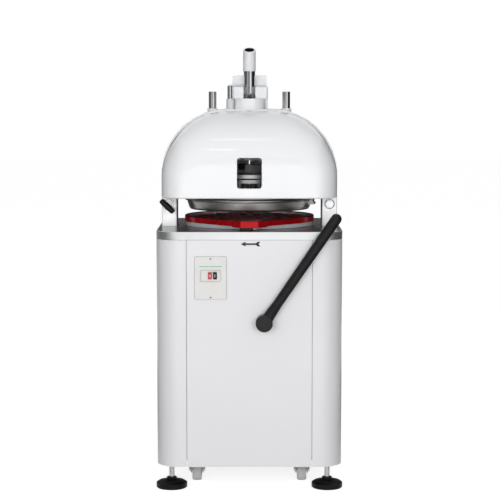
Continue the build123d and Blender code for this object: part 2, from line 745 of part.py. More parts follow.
def head_ring_plate():
    plate = rod_z(0, 0, HEAD_PLATE_Z, HEAD_PLATE_TOP, HEAD_PLATE_R)
    plate += block(-COLUMN_IN_X, COLUMN_IN_X, -EAR_D / 2, EAR_D / 2, HEAD_PLATE_Z, HEAD_PLATE_TOP)
    plate -= rod_z(0, 0, HEAD_PLATE_Z, HEAD_PLATE_TOP, CHAMBER_R)
    for x, y in ring_pin_places():
        plate -= rod_z(x, y, HEAD_PLATE_Z, HEAD_PLATE_TOP, RING_PIN_R + RUN)
    return plate


def column_bosses():
    """Hexagon head on the right column and the clamp's boss on the left one."""
    z = TABLE_Z + BOSS_Z
    face = -COLUMN_D / 2
    hexagon = RegularPolygon(CAP_R, 6)
    cap = extrude(Plane.XZ.offset(-face) * Pos(COLUMN_X, TABLE_Z + CAP_Z) * hexagon, amount=CAP_T)
    cap = chamfer(cap.edges().group_by(Axis.Y)[0], CAP_BEVEL)
    boss = rod_y(-COLUMN_X, z, face - BOSS_T, face, BOSS_R)
    boss -= rod_y(-COLUMN_X, z, face - BOSS_T, face, CLAMP_STUD_R + RUN)
    return Compound([cap, boss])


def clamp_handle():
    """Clamp's threaded hub with a barrel-shaped cross bar in front of it."""
    z = TABLE_Z + BOSS_Z
    face = -COLUMN_D / 2 - BOSS_T - FREE
    front = face - CLAMP_HUB_L
    handle = rod_y(-COLUMN_X, z, front, face, CLAMP_HUB_R)
    handle += rod_y(-COLUMN_X, z, front, CLAMP_STUD_IN - COLUMN_D / 2, CLAMP_STUD_R)
    side = ThreePointArc((CLAMP_R, -CLAMP_HALF), (CLAMP_MID_R, 0), (CLAMP_R, CLAMP_HALF))
    ends = Polyline((CLAMP_R, CLAMP_HALF), (0, CLAMP_HALF), (0, -CLAMP_HALF), (CLAMP_R, -CLAMP_HALF))
    bar = revolve(Plane.XZ * make_face([side, ends]), axis=Axis.Z)
    rims = bar.edges().group_by(Axis.Z)
    bar = Rot(Y=90) * fillet(rims[0] + rims[-1], CLAMP_END_R)
    place = Pos(-COLUMN_X, front, z) * Rot(Y=CLAMP_TILT)
    return handle + place * Pos(CLAMP_SHIFT, 0, -CLAMP_OFFSET) * bar


def switch_box():
    half_w = SWITCH_W / 2
    half_h = SWITCH_H / 2
    box_w = SWITCH_BOX_W / 2
    box_h = SWITCH_BOX_H / 2
    face = FRONT_Y - SWITCH_T
    plate = block(SWITCH_X - half_w, SWITCH_X + half_w, face, FRONT_Y, SWITCH_Z - half_h, SWITCH_Z + half_h)
    plate = fillet(plate.edges().filter_by(Axis.Y), SWITCH_R)
    plate = fillet(plate.faces().sort_by(Axis.Y)[0].edges(), SWITCH_T / 4)
    box = block(SWITCH_X - box_w, SWITCH_X + box_w, FRONT_Y, FRONT_Y + SWITCH_BOX_D,
                SWITCH_Z - box_h, SWITCH_Z + box_h)
    win_w = SWITCH_WIN_W / 2
    win_h = SWITCH_WIN_H / 2
    win_z = SWITCH_Z + SWITCH_WIN_RISE
    window = block(SWITCH_X - win_w, SWITCH_X + win_w, face, face + SWITCH_WIN_DEPTH,
                   win_z - win_h, win_z + win_h)
    case = plate + box - window
    for offset in (STOP_X, START_X):
        case -= button_form(offset, BUTTON_GAP, BUTTON_TRAVEL + FREE)
    return case


def button_form(offset, gap, deeper):
    """A push button, or with a gap and a depth the pocket that it slides in."""
    x = SWITCH_X + offset
    z = SWITCH_Z + SWITCH_WIN_RISE
    half_w = BUTTON_W / 2 + gap
    half_h = BUTTON_H / 2 + gap
    front = FRONT_Y - SWITCH_T - BUTTON_OUT
    return block(x - half_w, x + half_w, front, front + BUTTON_LEN + deeper, z - half_h, z + half_h)


def push_button(offset):
    button = button_form(offset, 0, 0)
    return fillet(button.faces().sort_by(Axis.Y)[0].edges(), BUTTON_OUT / 3)


def groove_ring(x, y, radius):
    """Groove for the belt round a pulley."""
    z0 = PULLEY_Z + (PULLEY_W - GROOVE_W) / 2
    outer = rod_z(x, y, z0, z0 + GROOVE_W, radius)
    return outer - rod_z(x, y, z0, z0 + GROOVE_W, radius - GROOVE_DEPTH)


def driven_pulley():
    pulley = rod_z(0, 0, PULLEY_Z, PULLEY_TOP, DRIVEN_R) - groove_ring(0, 0, DRIVEN_R)
    return pulley - rod_z(0, 0, PULLEY_Z, PULLEY_TOP, CRANK_SHAFT_R)


def motor_pulley():
    """Pulley with the motor's shaft end."""
    pulley = rod_z(0, MOTOR_Y, PULLEY_Z, PULLEY_TOP, MOTOR_PULLEY_R) - groove_ring(0, MOTOR_Y, MOTOR_PULLEY_R)
    return pulley + rod_z(0, MOTOR_Y, SHELF_Z - SHELF_T, PULLEY_Z, MOTOR_SHAFT_R)


def belt_loop(depth, height):
    """Prism round both pulleys, this deep below their rims."""
    circles = Circle(DRIVEN_R - depth).edges() + (Pos(0, MOTOR_Y) * Circle(MOTOR_PULLEY_R - depth)).edges()
    z0 = PULLEY_Z + (PULLEY_W - height) / 2
    return extrude(Pos(0, 0, z0) * make_hull(circles), amount=height)


def drive_belt():
    height = GROOVE_W - 2 * BELT_GAP
    return belt_loop(BELT_SINK, height) - belt_loop(GROOVE_DEPTH - BELT_GAP, height)


def drive_motor():
    """Flanged motor hung under the shelf, with cooling fins, a fan cover and a terminal box."""
    flange_z = SHELF_Z - SHELF_T
    body_z = flange_z - MOTOR_H
    motor = rod_z(0, MOTOR_Y, flange_z, SHELF_Z, MOTOR_R + MOTOR_FIN)
    motor += rod_z(0, MOTOR_Y, body_z, flange_z, MOTOR_R)
    fin_z = body_z + MOTOR_H / 4
    for fin in range(MOTOR_FINS):
        place = Pos(0, MOTOR_Y, 0) * Rot(Z=fin * 360 / MOTOR_FINS)
        motor += place * block(0, MOTOR_R + MOTOR_FIN, -SHEET, SHEET, fin_z, flange_z)
    motor += rod_z(0, MOTOR_Y, body_z, fin_z, MOTOR_R + MOTOR_FIN)
    box_z = flange_z - MOTOR_H / 2
    box_y = MOTOR_Y - MOTOR_R - 4 * MOTOR_FIN
    motor += block(-MOTOR_R / 2, MOTOR_R / 2, box_y, MOTOR_Y, box_z, box_z + MOTOR_R)
    return motor - rod_z(0, MOTOR_Y, flange_z, SHELF_Z, MOTOR_SHAFT_R + RUN)


def crank_bearing():
    bearing = rod_z(0, 0, BEARING_Z, BED_Z, CRANK_SHAFT_R + BEARING_WALL)
    bearing += rod_z(0, 0, BED_Z - BEARING_FLANGE_T, BED_Z, BEARING_FLANGE_R)
    return bearing - rod_z(0, 0, BEARING_Z, BED_Z, CRANK_SHAFT_R + RUN)


def crank_shaft():
    """Upright shaft with a disc on top and an eccentric pin for the orbit table."""
    shaft = rod_z(0, 0, PULLEY_Z - LOOSE, BED_Z + FREE, CRANK_SHAFT_R)
    shaft += rod_z(0, 0, BED_Z + FREE, BED_TOP - FREE, CRANK_DISC_R)
    return shaft + rod_z(0, ORBIT_R, BED_TOP - FREE, ORBIT_Z + PIN_ENGAGE, CRANK_PIN_R)


def guide_crank(x, y):
    """Small crank that keeps the orbit table square."""
    disc_z = BED_TOP - FREE - GUIDE_DISC_T
    crank = rod_z(x, y, BED_Z, disc_z, GUIDE_JOURNAL_R)
    crank += rod_z(x, y, disc_z, BED_TOP - FREE, GUIDE_DISC_R)
    return crank + rod_z(x, y + ORBIT_R, BED_TOP - FREE, ORBIT_Z + PIN_ENGAGE, GUIDE_PIN_R)


def orbit_table():
    table = rod_z(0, PLATE_Y, ORBIT_Z, ORBIT_TOP, PLATE_R - ORBIT_INSET)
    bore_top = ORBIT_Z + PIN_ENGAGE + FREE
    table -= rod_z(0, PLATE_Y, ORBIT_Z, bore_top, CRANK_PIN_R + RUN)
    for x, y in guide_places():
        table -= rod_z(x, y + ORBIT_R, ORBIT_Z, bore_top, GUIDE_PIN_R + RUN)
    return table


def plate_plan(z, height):
    """Prism of the moulding plate's plan: a round that runs out to a flat nose."""
    nose_y = -PLATE_R - NOSE_REACH
    nose = [Line((-NOSE_W / 2, nose_y), (NOSE_W / 2, nose_y))]
    plan = make_hull(Circle(PLATE_R).edges() + ShapeList(nose))
    return extrude(Pos(0, PLATE_Y, z) * plan, amount=height)


def moulding_plate():
    """Moulding plate with a shallow cup under each portion and a thicker nose."""
    plate = plate_plan(ORBIT_TOP, PLATE_T)
    nose_y = PLATE_Y - PLATE_R - NOSE_REACH
    plate += plate_plan(ORBIT_TOP - NOSE_DROP, NOSE_DROP) & block(
        -NOSE_W, NOSE_W, nose_y, PLATE_Y - PLATE_R, ORBIT_TOP - NOSE_DROP, ORBIT_TOP)
    plate = fillet(plate.edges().filter_by(Axis.Z).group_by(Axis.Y)[0], NOSE_EDGE_R)
    plate = fillet(plate.faces().sort_by(Axis.Z)[-1].edges(), PLATE_EDGE_R)
    floor = PLATE_TOP - PLATE_RECESS
    plate -= rod_z(0, PLATE_Y, floor, PLATE_TOP, PLATE_R - PLATE_RIM)
    ball_r = (CUP_R ** 2 + CUP_DEPTH ** 2) / (2 * CUP_DEPTH)
    cups = [Pos(x, PLATE_Y + y, floor + ball_r - CUP_DEPTH) * Sphere(ball_r) for x, y in post_places()]
    return plate - cups


def plate_latch():
    top = ORBIT_TOP - NOSE_DROP
    front = PLATE_Y - PLATE_R - NOSE_REACH + LATCH_BACK
    back = PLATE_Y - PLATE_R / 2
    latch = block(LATCH_X - LATCH_W / 2, LATCH_X + LATCH_W / 2, front, back, top - LATCH_T, top)
    latch = fillet(latch.edges().filter_by(Axis.Z).group_by(Axis.Y)[0], LATCH_T / 2)
    return latch - rod_z(0, PLATE_Y, ORBIT_Z, ORBIT_TOP, PLATE_R - ORBIT_INSET)


def ring_form():
    """Solid form of the chamber ring: a bevelled foot, a flaring body and a rounded flange on top."""
    band_z = RING_TOP - RING_BAND_H
    form = turned([
        (0, RING_Z), (RING_OUT - RING_FOOT_IN, RING_Z), (RING_OUT, RING_Z + RING_FOOT_H),
        (RING_OUT + RING_TAPER, band_z), (RING_TOP_R, band_z), (RING_TOP_R, RING_TOP), (0, RING_TOP),
    ])
    rim = form.edges().filter_by(GeomType.CIRCLE).sort_by(SortBy.RADIUS)[-2:]
    return fillet(rim, RING_EDGE_R)


def chamber_ring():
    ring = ring_form() - rod_z(0, 0, RING_Z, RING_TOP, CHAMBER_R)
    for x, y in ring_pin_places():
        ring -= rod_z(x, y, RING_TOP - RING_PIN_IN, RING_TOP, RING_PIN_R)
    return ring


def ring_pins():
    """Headed pins that the chamber ring hangs and slides on."""
    pins = []
    top = HEAD_PLATE_TOP + RING_PIN_RISE
    for x, y in ring_pin_places():
        pin = rod_z(x, y, RING_TOP - RING_PIN_IN, top, RING_PIN_R)
        pins.append(pin + rod_z(x, y, top - RING_PIN_HEAD_H, top, RING_PIN_HEAD_R))
    return Compound(pins)


def ring_latch():
    """Bright catch on the ring's right side, with a turned-out lip."""
    half = RING_LATCH_W / 2
    reach = RING_TOP_R + RING_LATCH_T
    low = RING_TOP - RING_LATCH_H
    catch = block(CHAMBER_R, reach, -half, half, low, RING_TOP)
    catch = fillet(catch.edges().filter_by(Axis.Y).group_by(Axis.X)[-1].sort_by(Axis.Z)[:1], RING_LATCH_T / 2)
    notch_z = low + RING_LATCH_H / 3
    notch = block(reach - RING_LATCH_T / 2, reach, -half, half, notch_z, RING_TOP - RING_LATCH_T / 2)
    catch -= notch
    return Rot(Z=RING_LATCH_ANGLE) * catch - ring_form()


def ring_radii():
    """Outer radius of each ring of portions, from the middle out."""
    radii = []
    count = 0
    for portions in PORTION_RINGS:
        count += portions
        radii.append(PRESS_R * sqrt(count / PORTIONS))
    return radii


def knife_lattice(thickness, z0, z1):
    """Upright ring and radial blades of this thickness between the portions."""
    radii = ring_radii()
    lattice = Part()
    for radius in radii[:-1]:
        lattice += rod_z(0, 0, z0, z1, radius + thickness / 2) - rod_z(0, 0, z0, z1, radius - thickness / 2)
    inner = 0
    for portions, outer in zip(PORTION_RINGS, radii):
        for blade in range(portions):
            wall = block(inner, outer, -thickness / 2, thickness / 2, z0, z1)
            lattice += Rot(Z=blade * 360 / portions) * wall
        inner = outer
    return lattice


def post_places():
    """Centre of each portion, where its post stands."""
    places = []
    inner = 0
    for portions, outer in zip(PORTION_RINGS, ring_radii()):
        radius = (inner + outer) / 2
        for portion in range(portions):
            angle = 2 * pi * (portion + 0.5) / portions
            places.append((radius * cos(angle), radius * sin(angle)))
        inner = outer
    return places


def presser_segments():
    """One pressing segment for each portion, on its own post."""
    disc = rod_z(0, 0, PRESS_Z, PRESS_Z + PRESS_T, PRESS_R)
    segments = disc - knife_lattice(SLOT_T, PRESS_Z, PRESS_Z + PRESS_T)
    posts = [rod_z(x, y, PRESS_Z + PRESS_T, PRESS_PLATE_Z, POST_R) for x, y in post_places()]
    return segments + posts


def standoff_places():
    """Where the knife grid hangs from its carrier, above the outer ring blade."""
    radius = ring_radii()[1]
    places = []
    for standoff in range(STANDOFFS):
        angle = 2 * pi * standoff / STANDOFFS
        places.append((radius * cos(angle), radius * sin(angle)))
    return places


def knife_grid():
    grid = knife_lattice(BLADE_T, BLADE_Z, BLADE_TOP)
    standoffs = [rod_z(x, y, BLADE_TOP, CARRIER_Z, STANDOFF_R) for x, y in standoff_places()]
    return (grid & rod_z(0, 0, BLADE_Z, BLADE_TOP, PRESS_R)) + standoffs


def knife_carrier():
    carrier = rod_z(0, 0, CARRIER_Z, CARRIER_TOP, CARRIER_R)
    holes = [rod_z(x, y, CARRIER_Z, CARRIER_TOP, POST_R + POST_RUN) for x, y in post_places()]
    carrier -= holes
    return carrier - rod_z(KNIFE_ROD_X, KNIFE_ROD_Y, CARRIER_Z, CARRIER_TOP, KNIFE_ROD_R)


def knife_rod():
    top = ARCH_TOP + KNIFE_ROD_RISE
    rod = rod_z(KNIFE_ROD_X, KNIFE_ROD_Y, CARRIER_Z, top, KNIFE_ROD_R)
    return chamfer(rod.edges().group_by(Axis.Z)[-1], KNIFE_ROD_R / 2)


def presser_plate():
    plate = rod_z(0, 0, PRESS_PLATE_Z, PRESS_PLATE_TOP, CARRIER_R)
    plate -= rod_z(KNIFE_ROD_X, KNIFE_ROD_Y, PRESS_PLATE_Z, PRESS_PLATE_TOP, KNIFE_ROD_R + LOOSE / 2)
    for side in (-1, 1):
        plate -= rod_z(side * ROD_X, 0, PRESS_PLATE_Z, PRESS_PLATE_TOP, ROD_R)
    return plate


def guide_rods():
    rods = []
    for side in (-1, 1):
        rod = rod_z(side * ROD_X, 0, PRESS_PLATE_Z, ARCH_TOP + ROD_RISE, ROD_R)
        rods.append(chamfer(rod.edges().group_by(Axis.Z)[-1], ROD_R / 12))
    return Compound(rods)


def lock_y():
    """Where the lock knob's pin leaves the spindle's flange."""
    return -sqrt(FLANGE_R ** 2 - LOCK_X ** 2)


def press_spindle():
    """Press spindle with the flange that carries the presser plate."""
    neck_top = PRESS_PLATE_TOP + FLANGE_NECK
    spindle = rod_z(0, 0, PRESS_PLATE_TOP, neck_top, FLANGE_R - 2 * FLANGE_NECK)
    spindle += rod_z(0, 0, neck_top, FLANGE_TOP, FLANGE_R)
    spindle += rod_z(0, 0, FLANGE_TOP, SPINDLE_TOP, SPINDLE_R)
    return spindle - rod_y(LOCK_X, LOCK_Z, -FLANGE_R, lock_y() + LOCK_PIN_IN, LOCK_PIN_R + RUN)


def lock_knob():
    ball_y = lock_y() - LOCK_STAND
    pin = rod_y(LOCK_X, LOCK_Z, ball_y, lock_y() + LOCK_PIN_IN - FREE, LOCK_PIN_R)
    return pin + Pos(LOCK_X, ball_y, LOCK_Z) * Sphere(LOCK_BALL_R)


def cam_point(turn):
    """Point of the involute cam, from the pivot, that presses when the lever has turned this far."""
    a = radians(turn)
    string = CAM_START + CAM_R * a
    y = -CAM_R * cos(a) - string * sin(a)
    z = CAM_R * sin(a) - string * cos(a)
    return (y, z)


CAM_BEGIN = -10.0
CAM_END = LEVER_SWING + 4.0
CAM_POINTS = 9


def press_hub():
    """Lever's cross pin with an involute cam that drives the spindle at a constant ratio."""
    turns = [CAM_BEGIN + (CAM_END - CAM_BEGIN) * k / (CAM_POINTS - 1) for k in range(CAM_POINTS)]
    flank = [cam_point(turn) for turn in turns]
    outline = [Spline(*flank), Polyline(flank[-1], (0, 0), flank[0])]
    cam = extrude(Plane.YZ * make_face(outline), amount=CAM_W / 2, both=True)
    pin = rod_x(PIVOT_Y, PIVOT_Z, -HOUSING_BLOCK_W / 2, HOUSING_BLOCK_W / 2, TRUNNION_R)
    return pin + Pos(0, PIVOT_Y, PIVOT_Z) * cam


def press_stem():
    """Lever's upright lower bar, with the cross pin and the cam let into it."""
    return rod_z(0, PIVOT_Y, PIVOT_Z - STEM_DOWN, STEM_TOP, STEM_R) - press_hub()


def press_socket():
    """Handle socket that leans forward, mitred to the bar's top."""
    socket = on_socket(0) * Cylinder(SOCKET_R, 2 * SOCKET_LEN)
    socket -= on_socket(SOCKET_LEN - SOCKET_DEPTH / 2) * Cylinder(SOCKET_BORE_R, SOCKET_DEPTH)
    return socket - block(-CAB_W, CAB_W, -CAB_D, CAB_D, ARCH_TOP, STEM_TOP)


def rounding_hub():
    """Round hub with the steel arm that goes up inside the grip."""
    back = FRONT_Y - ROUND_HUB_GAP
    front = FRONT_Y - ROUND_REACH
    hub = rod_y(ROUND_X, ROUND_Z, front, back, ROUND_HUB_R)
    hub = fillet(hub.edges().group_by(Axis.Y)[0], ROUND_CAP_IN / 2)
    groove = rod_y(ROUND_X, ROUND_Z, front, front + HUB_GROOVE_D, HUB_GROOVE_R + HUB_GROOVE_W / 2)
    hub -= groove - rod_y(ROUND_X, ROUND_Z, front, front + HUB_GROOVE_D, HUB_GROOVE_R - HUB_GROOVE_W / 2)
    hub += on_rounding_arm(ROUND_LEN / 2) * Cylinder(ARM_R, ROUND_LEN)
    return hub - rod_y(ROUND_X, ROUND_Z, front + ROUND_CAP_IN, back, ROUND_SHAFT_R)


def rounding_grip():
    length = ROUND_LEN - GRIP_START
    grip = Cone(GRIP_R0, GRIP_R1, length)
    grip += Pos(0, 0, length / 2) * Sphere(GRIP_R1)
    grip -= Cylinder(ARM_R, length)
    grip = on_rounding_arm(GRIP_START + length / 2) * grip
    return grip - rod_y(ROUND_X, ROUND_Z, FRONT_Y - ROUND_REACH, FRONT_Y, ROUND_HUB_R)


def rounding_shaft():
    """Shaft from the hub through the frame's tube, with a retaining collar."""
    tube_end = LEG_INSET - CAB_D / 2 + CROSS_T + TUBE_BACK
    collar_y = tube_end + FREE
    end = collar_y + COLLAR_T
    shaft = rod_y(ROUND_X, ROUND_Z, FRONT_Y - ROUND_REACH + ROUND_CAP_IN, end, ROUND_SHAFT_R)
    return shaft + rod_y(ROUND_X, ROUND_Z, collar_y, end, ROUND_SHAFT_R + COLLAR_OVER)


FOOT_Y = FRONT_Y + FOOT_INSET


def foot(x):
    """Levelling foot: a domed pad and its threaded stem."""
    pad = turned([
        (0, 0), (FOOT_R - FOOT_EDGE, 0), (FOOT_R, FOOT_EDGE), (FOOT_R, FOOT_SOLE_H),
        (FOOT_SHOULDER_R, FOOT_SHOULDER_H), (FOOT_HUB_R + LOOSE, FOOT_CONE_H),
        (FOOT_HUB_R, FOOT_CONE_H + LOOSE), (FOOT_HUB_R, FOOT_H), (0, FOOT_H),
    ])
    pad -= rod_z(0, 0, FOOT_STEM_IN, FOOT_H, FOOT_STEM_R)
    stem = rod_z(0, 0, FOOT_STEM_IN, BASE_Z + BASE_T + FOOT_STEM_OVER, FOOT_STEM_R)
    return Pos(x, FOOT_Y, 0) * Compound([pad, stem])


RACE_Z = BASE_Z - CASTER_PLATE_T - RACE_T
CROWN_TOP = RACE_Z - FREE
CROWN_Z = CROWN_TOP - FORK_CROWN_T
FORK_IN = WHEEL_W / 2 + FORK_GAP


def fork_cheeks(x, y_top, y_axle, z_top):
    """Two fork plates from a crown down to the axle's eyes."""
    half = FORK_CROWN_R - FORK_T
    top = Line((y_top - half, z_top), (y_top + half, z_top))
    eye = Pos(y_axle, WHEEL_R) * Circle(FORK_EYE_R)
    face = make_hull(ShapeList([top]) + eye.edges())
    cheek = extrude(Plane.YZ * face, amount=FORK_T)
    return Pos(x + FORK_IN, 0, 0) * cheek + Pos(x - FORK_IN - FORK_T, 0, 0) * cheek


def caster_fork(x):
    """Swivel fork of a front caster with its axle."""
    fork = rod_z(x, -CASTER_Y, CROWN_Z, CROWN_TOP, FORK_CROWN_R)
    fork -= rod_z(x, -CASTER_Y, CROWN_Z, CROWN_TOP, KING_R + RUN)
    axle_y = CASTER_TRAIL - CASTER_Y
    fork += fork_cheeks(x, -CASTER_Y, axle_y, CROWN_Z)
    end = FORK_IN + FORK_T
    return fork + rod_x(axle_y, WHEEL_R, x - end, x + end, AXLE_R)


def wheel(x, y, bore):
    """Wheel with rounded tread edges on its axle."""
    body = rod_x(y, WHEEL_R, x - WHEEL_W / 2, x + WHEEL_W / 2, WHEEL_R)
    body = fillet(body.edges(), WHEEL_EDGE_R)
    return body - rod_x(y, WHEEL_R, x - WHEEL_W / 2, x + WHEEL_W / 2, bore)


def rear_wheels():
    """Two rear wheels on one turning axle."""
    end = CASTER_X + FORK_IN + FORK_T
    axle = rod_x(CASTER_Y, WHEEL_R, -end, end, AXLE_R)
    left = wheel(-CASTER_X, CASTER_Y, AXLE_R)
    right = wheel(CASTER_X, CASTER_Y, AXLE_R)
    return Compound([axle, left, right])


def caster_mounts():
    """Swivel plates of the front casters and fixed brackets of the rear wheels."""
    mounts = []
    half = CASTER_PLATE_W / 2
    plate_z = BASE_Z - CASTER_PLATE_T
    for x in (-CASTER_X, CASTER_X):
        swivel = block(x - half, x + half, -CASTER_Y - half, half - CASTER_Y, plate_z, BASE_Z)
        swivel += rod_z(x, -CASTER_Y, RACE_Z, plate_z, RACE_R)
        mounts.append(swivel + rod_z(x, -CASTER_Y, RACE_Z - KING_IN, RACE_Z, KING_R))
        fixed = block(x - half, x + half, CASTER_Y - half, CASTER_Y + half, plate_z, BASE_Z)
        fixed += fork_cheeks(x, CASTER_Y, CASTER_Y, plate_z)
        mounts.append(fixed - rod_x(CASTER_Y, WHEEL_R, x - half, x + half, AXLE_R + RUN))
    return Compound(mounts)


def cable_gland():
    """Cable entry, standing out as far behind as the rounding lever's hub does in front."""
    gland = rod_y(GLAND_X, GLAND_Z, BACK_Y - SHEET - GLAND_IN, BACK_Y + ROUND_REACH, GLAND_R)
    gland += rod_y(GLAND_X, GLAND_Z, BACK_Y, BACK_Y + GLAND_FLANGE_T, GLAND_FLANGE_R)
    gland = fillet(gland.edges().group_by(Axis.Y)[-1], GLAND_R / 4)
    return gland - rod_y(GLAND_X, GLAND_Z, BACK_Y - CAB_D, BACK_Y + CAB_D, GLAND_BORE_R)


def fasteners():
    """Column bolts, foot nuts and the screws of the rear panel, the covers and the switch."""
    items = []
    for x, y in bolt_places():
        head = Pos(x, y, BED_Z - BOLT_HEAD_H) * extrude(RegularPolygon(BOLT_HEAD_R, 6), BOLT_HEAD_H)
        items.append(head + rod_z(x, y, BED_Z, BED_Z + BOLT_UP, BOLT_R))
    for side in (-1, 1):
        nut = Pos(side * FOOT_X, FOOT_Y, BASE_Z - NUT_H) * extrude(RegularPolygon(NUT_R, 6), NUT_H)
        items.append(nut - rod_z(side * FOOT_X, FOOT_Y, BASE_Z - NUT_H, BASE_Z, FOOT_STEM_R + RUN))
        x = side * (FRONT_PANEL_W / 2 - SCREW_INSET)
        for z in (CAB_BOTTOM + SCREW_INSET, CAB_TOP - SCREW_INSET):
            items.append(rod_y(x, z, BACK_Y, BACK_Y + SCREW_T, SCREW_R))
        z = SWITCH_Z + side * (SWITCH_H / 2 - SCREW_INSET / 2)
        face = FRONT_Y - SWITCH_T
        items.append(rod_y(SWITCH_X, z, face - SCREW_T / 2, face, SCREW_R))
        y = side * (COLUMN_D / 2 + SCREW_INSET)
        top = ARCH_TOP - COVER_STEP
        items.append(rod_z(0, y, top, top + SCREW_T, SCREW_R))
        flank = COLUMN_OUT_X - COVER_STEP
        items.append(rod_x(y, ARCH_CENTRE, flank, flank + SCREW_T, SCREW_R))
        items.append(rod_x(y, ARCH_CENTRE, -flank - SCREW_T, -flank, SCREW_R))
    return Compound(items)


NODES = {
    "base_plate": base_plate(),
    "base_frame": base_frame(),
    "bed_plate": bed_plate(),
    "table_tray": table_tray(),
    "left_side_panel": mirrored(right_side_panel()),
    "right_side_panel": right_side_panel(),
    "front_panel": front_panel(),
    "rear_panel": rear_panel(),
    "left_column": left_column(),
    "right_column": right_column(),
    "head_arch": head_arch(),
    "front_cover": front_cover(),
    "rear_cover": rear_cover(),
    "spindle_housing": spindle_housing(),
    "lever_yoke": lever_yoke(),
    "rod_bushes": rod_bushes(),
    "head_ring_plate": head_ring_plate(),
    "column_bosses": column_bosses(),
    "switch_box": switch_box(),
    "drive_motor": drive_motor(),
    "drive_belt": drive_belt(),
    "crank_bearing": crank_bearing(),
    "cable_gland": cable_gland(),
    "caster_mounts": caster_mounts(),
    "fasteners": fasteners(),
    "press_hub": press_hub(),
    "press_stem": press_stem(),
    "press_socket": press_socket(),
    "press_spindle": press_spindle(),
    "presser_plate": presser_plate(),
    "guide_rods": guide_rods(),
    "presser_segments": presser_segments(),
    "lock_knob": lock_knob(),
    "knife_carrier": knife_carrier(),
    "knife_grid": knife_grid(),
    "knife_rod": knife_rod(),
    "chamber_ring": chamber_ring(),
    "ring_pins": ring_pins(),
    "ring_latch": ring_latch(),
    "crank_shaft": crank_shaft(),
    "driven_pulley": driven_pulley(),
    "orbit_table": orbit_table(),
    "moulding_plate": moulding_plate(),
    "plate_latch": plate_latch(),
    "left_guide_crank": guide_crank(*guide_places()[0]),
    "right_guide_crank": guide_crank(*guide_places()[1]),
    "motor_pulley": motor_pulley(),
    "rounding_hub": rounding_hub(),
    "rounding_grip": rounding_grip(),
    "rounding_shaft": rounding_shaft(),
    "clamp_handle": clamp_handle(),
    "start_button": push_button(START_X),
    "stop_button": push_button(STOP_X),
    "left_caster_fork": caster_fork(-CASTER_X),
    "left_caster_wheel": wheel(-CASTER_X, CASTER_TRAIL - CASTER_Y, AXLE_R + RUN),
    "right_caster_fork": caster_fork(CASTER_X),
    "right_caster_wheel": wheel(CASTER_X, CASTER_TRAIL - CASTER_Y, AXLE_R + RUN),
    "rear_wheels": rear_wheels(),
    "left_foot": foot(-FOOT_X),
    "right_foot": foot(FOOT_X),
}

os.makedirs("parts", exist_ok=True)
for name, shape in NODES.items():
    export_step(shape, f"parts/{name}.step")
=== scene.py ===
import json
from math import cos, hypot, pi, radians, sin, sqrt

import bmesh
import bpy
from mathutils import Matrix, Vector


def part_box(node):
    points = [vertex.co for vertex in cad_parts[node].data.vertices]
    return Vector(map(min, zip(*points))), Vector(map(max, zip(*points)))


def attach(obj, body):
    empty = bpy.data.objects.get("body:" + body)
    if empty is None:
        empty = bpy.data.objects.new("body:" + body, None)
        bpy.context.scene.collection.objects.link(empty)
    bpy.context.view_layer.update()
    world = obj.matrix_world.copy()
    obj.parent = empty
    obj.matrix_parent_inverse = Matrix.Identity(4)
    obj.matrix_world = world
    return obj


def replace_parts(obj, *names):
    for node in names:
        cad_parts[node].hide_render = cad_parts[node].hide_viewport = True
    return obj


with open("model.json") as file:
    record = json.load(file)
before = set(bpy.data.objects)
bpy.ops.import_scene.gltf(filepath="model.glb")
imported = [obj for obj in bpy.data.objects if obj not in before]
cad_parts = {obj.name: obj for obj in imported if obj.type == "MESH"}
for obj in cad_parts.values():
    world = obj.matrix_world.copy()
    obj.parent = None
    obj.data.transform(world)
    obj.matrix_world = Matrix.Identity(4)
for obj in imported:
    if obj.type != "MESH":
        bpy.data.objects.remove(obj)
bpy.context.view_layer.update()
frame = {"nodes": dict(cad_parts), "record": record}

nodes = frame["nodes"]
scene = bpy.context.scene
MM = 0.001


# Materials

NOISE_LOW = 0.3
NOISE_HIGH = 0.7


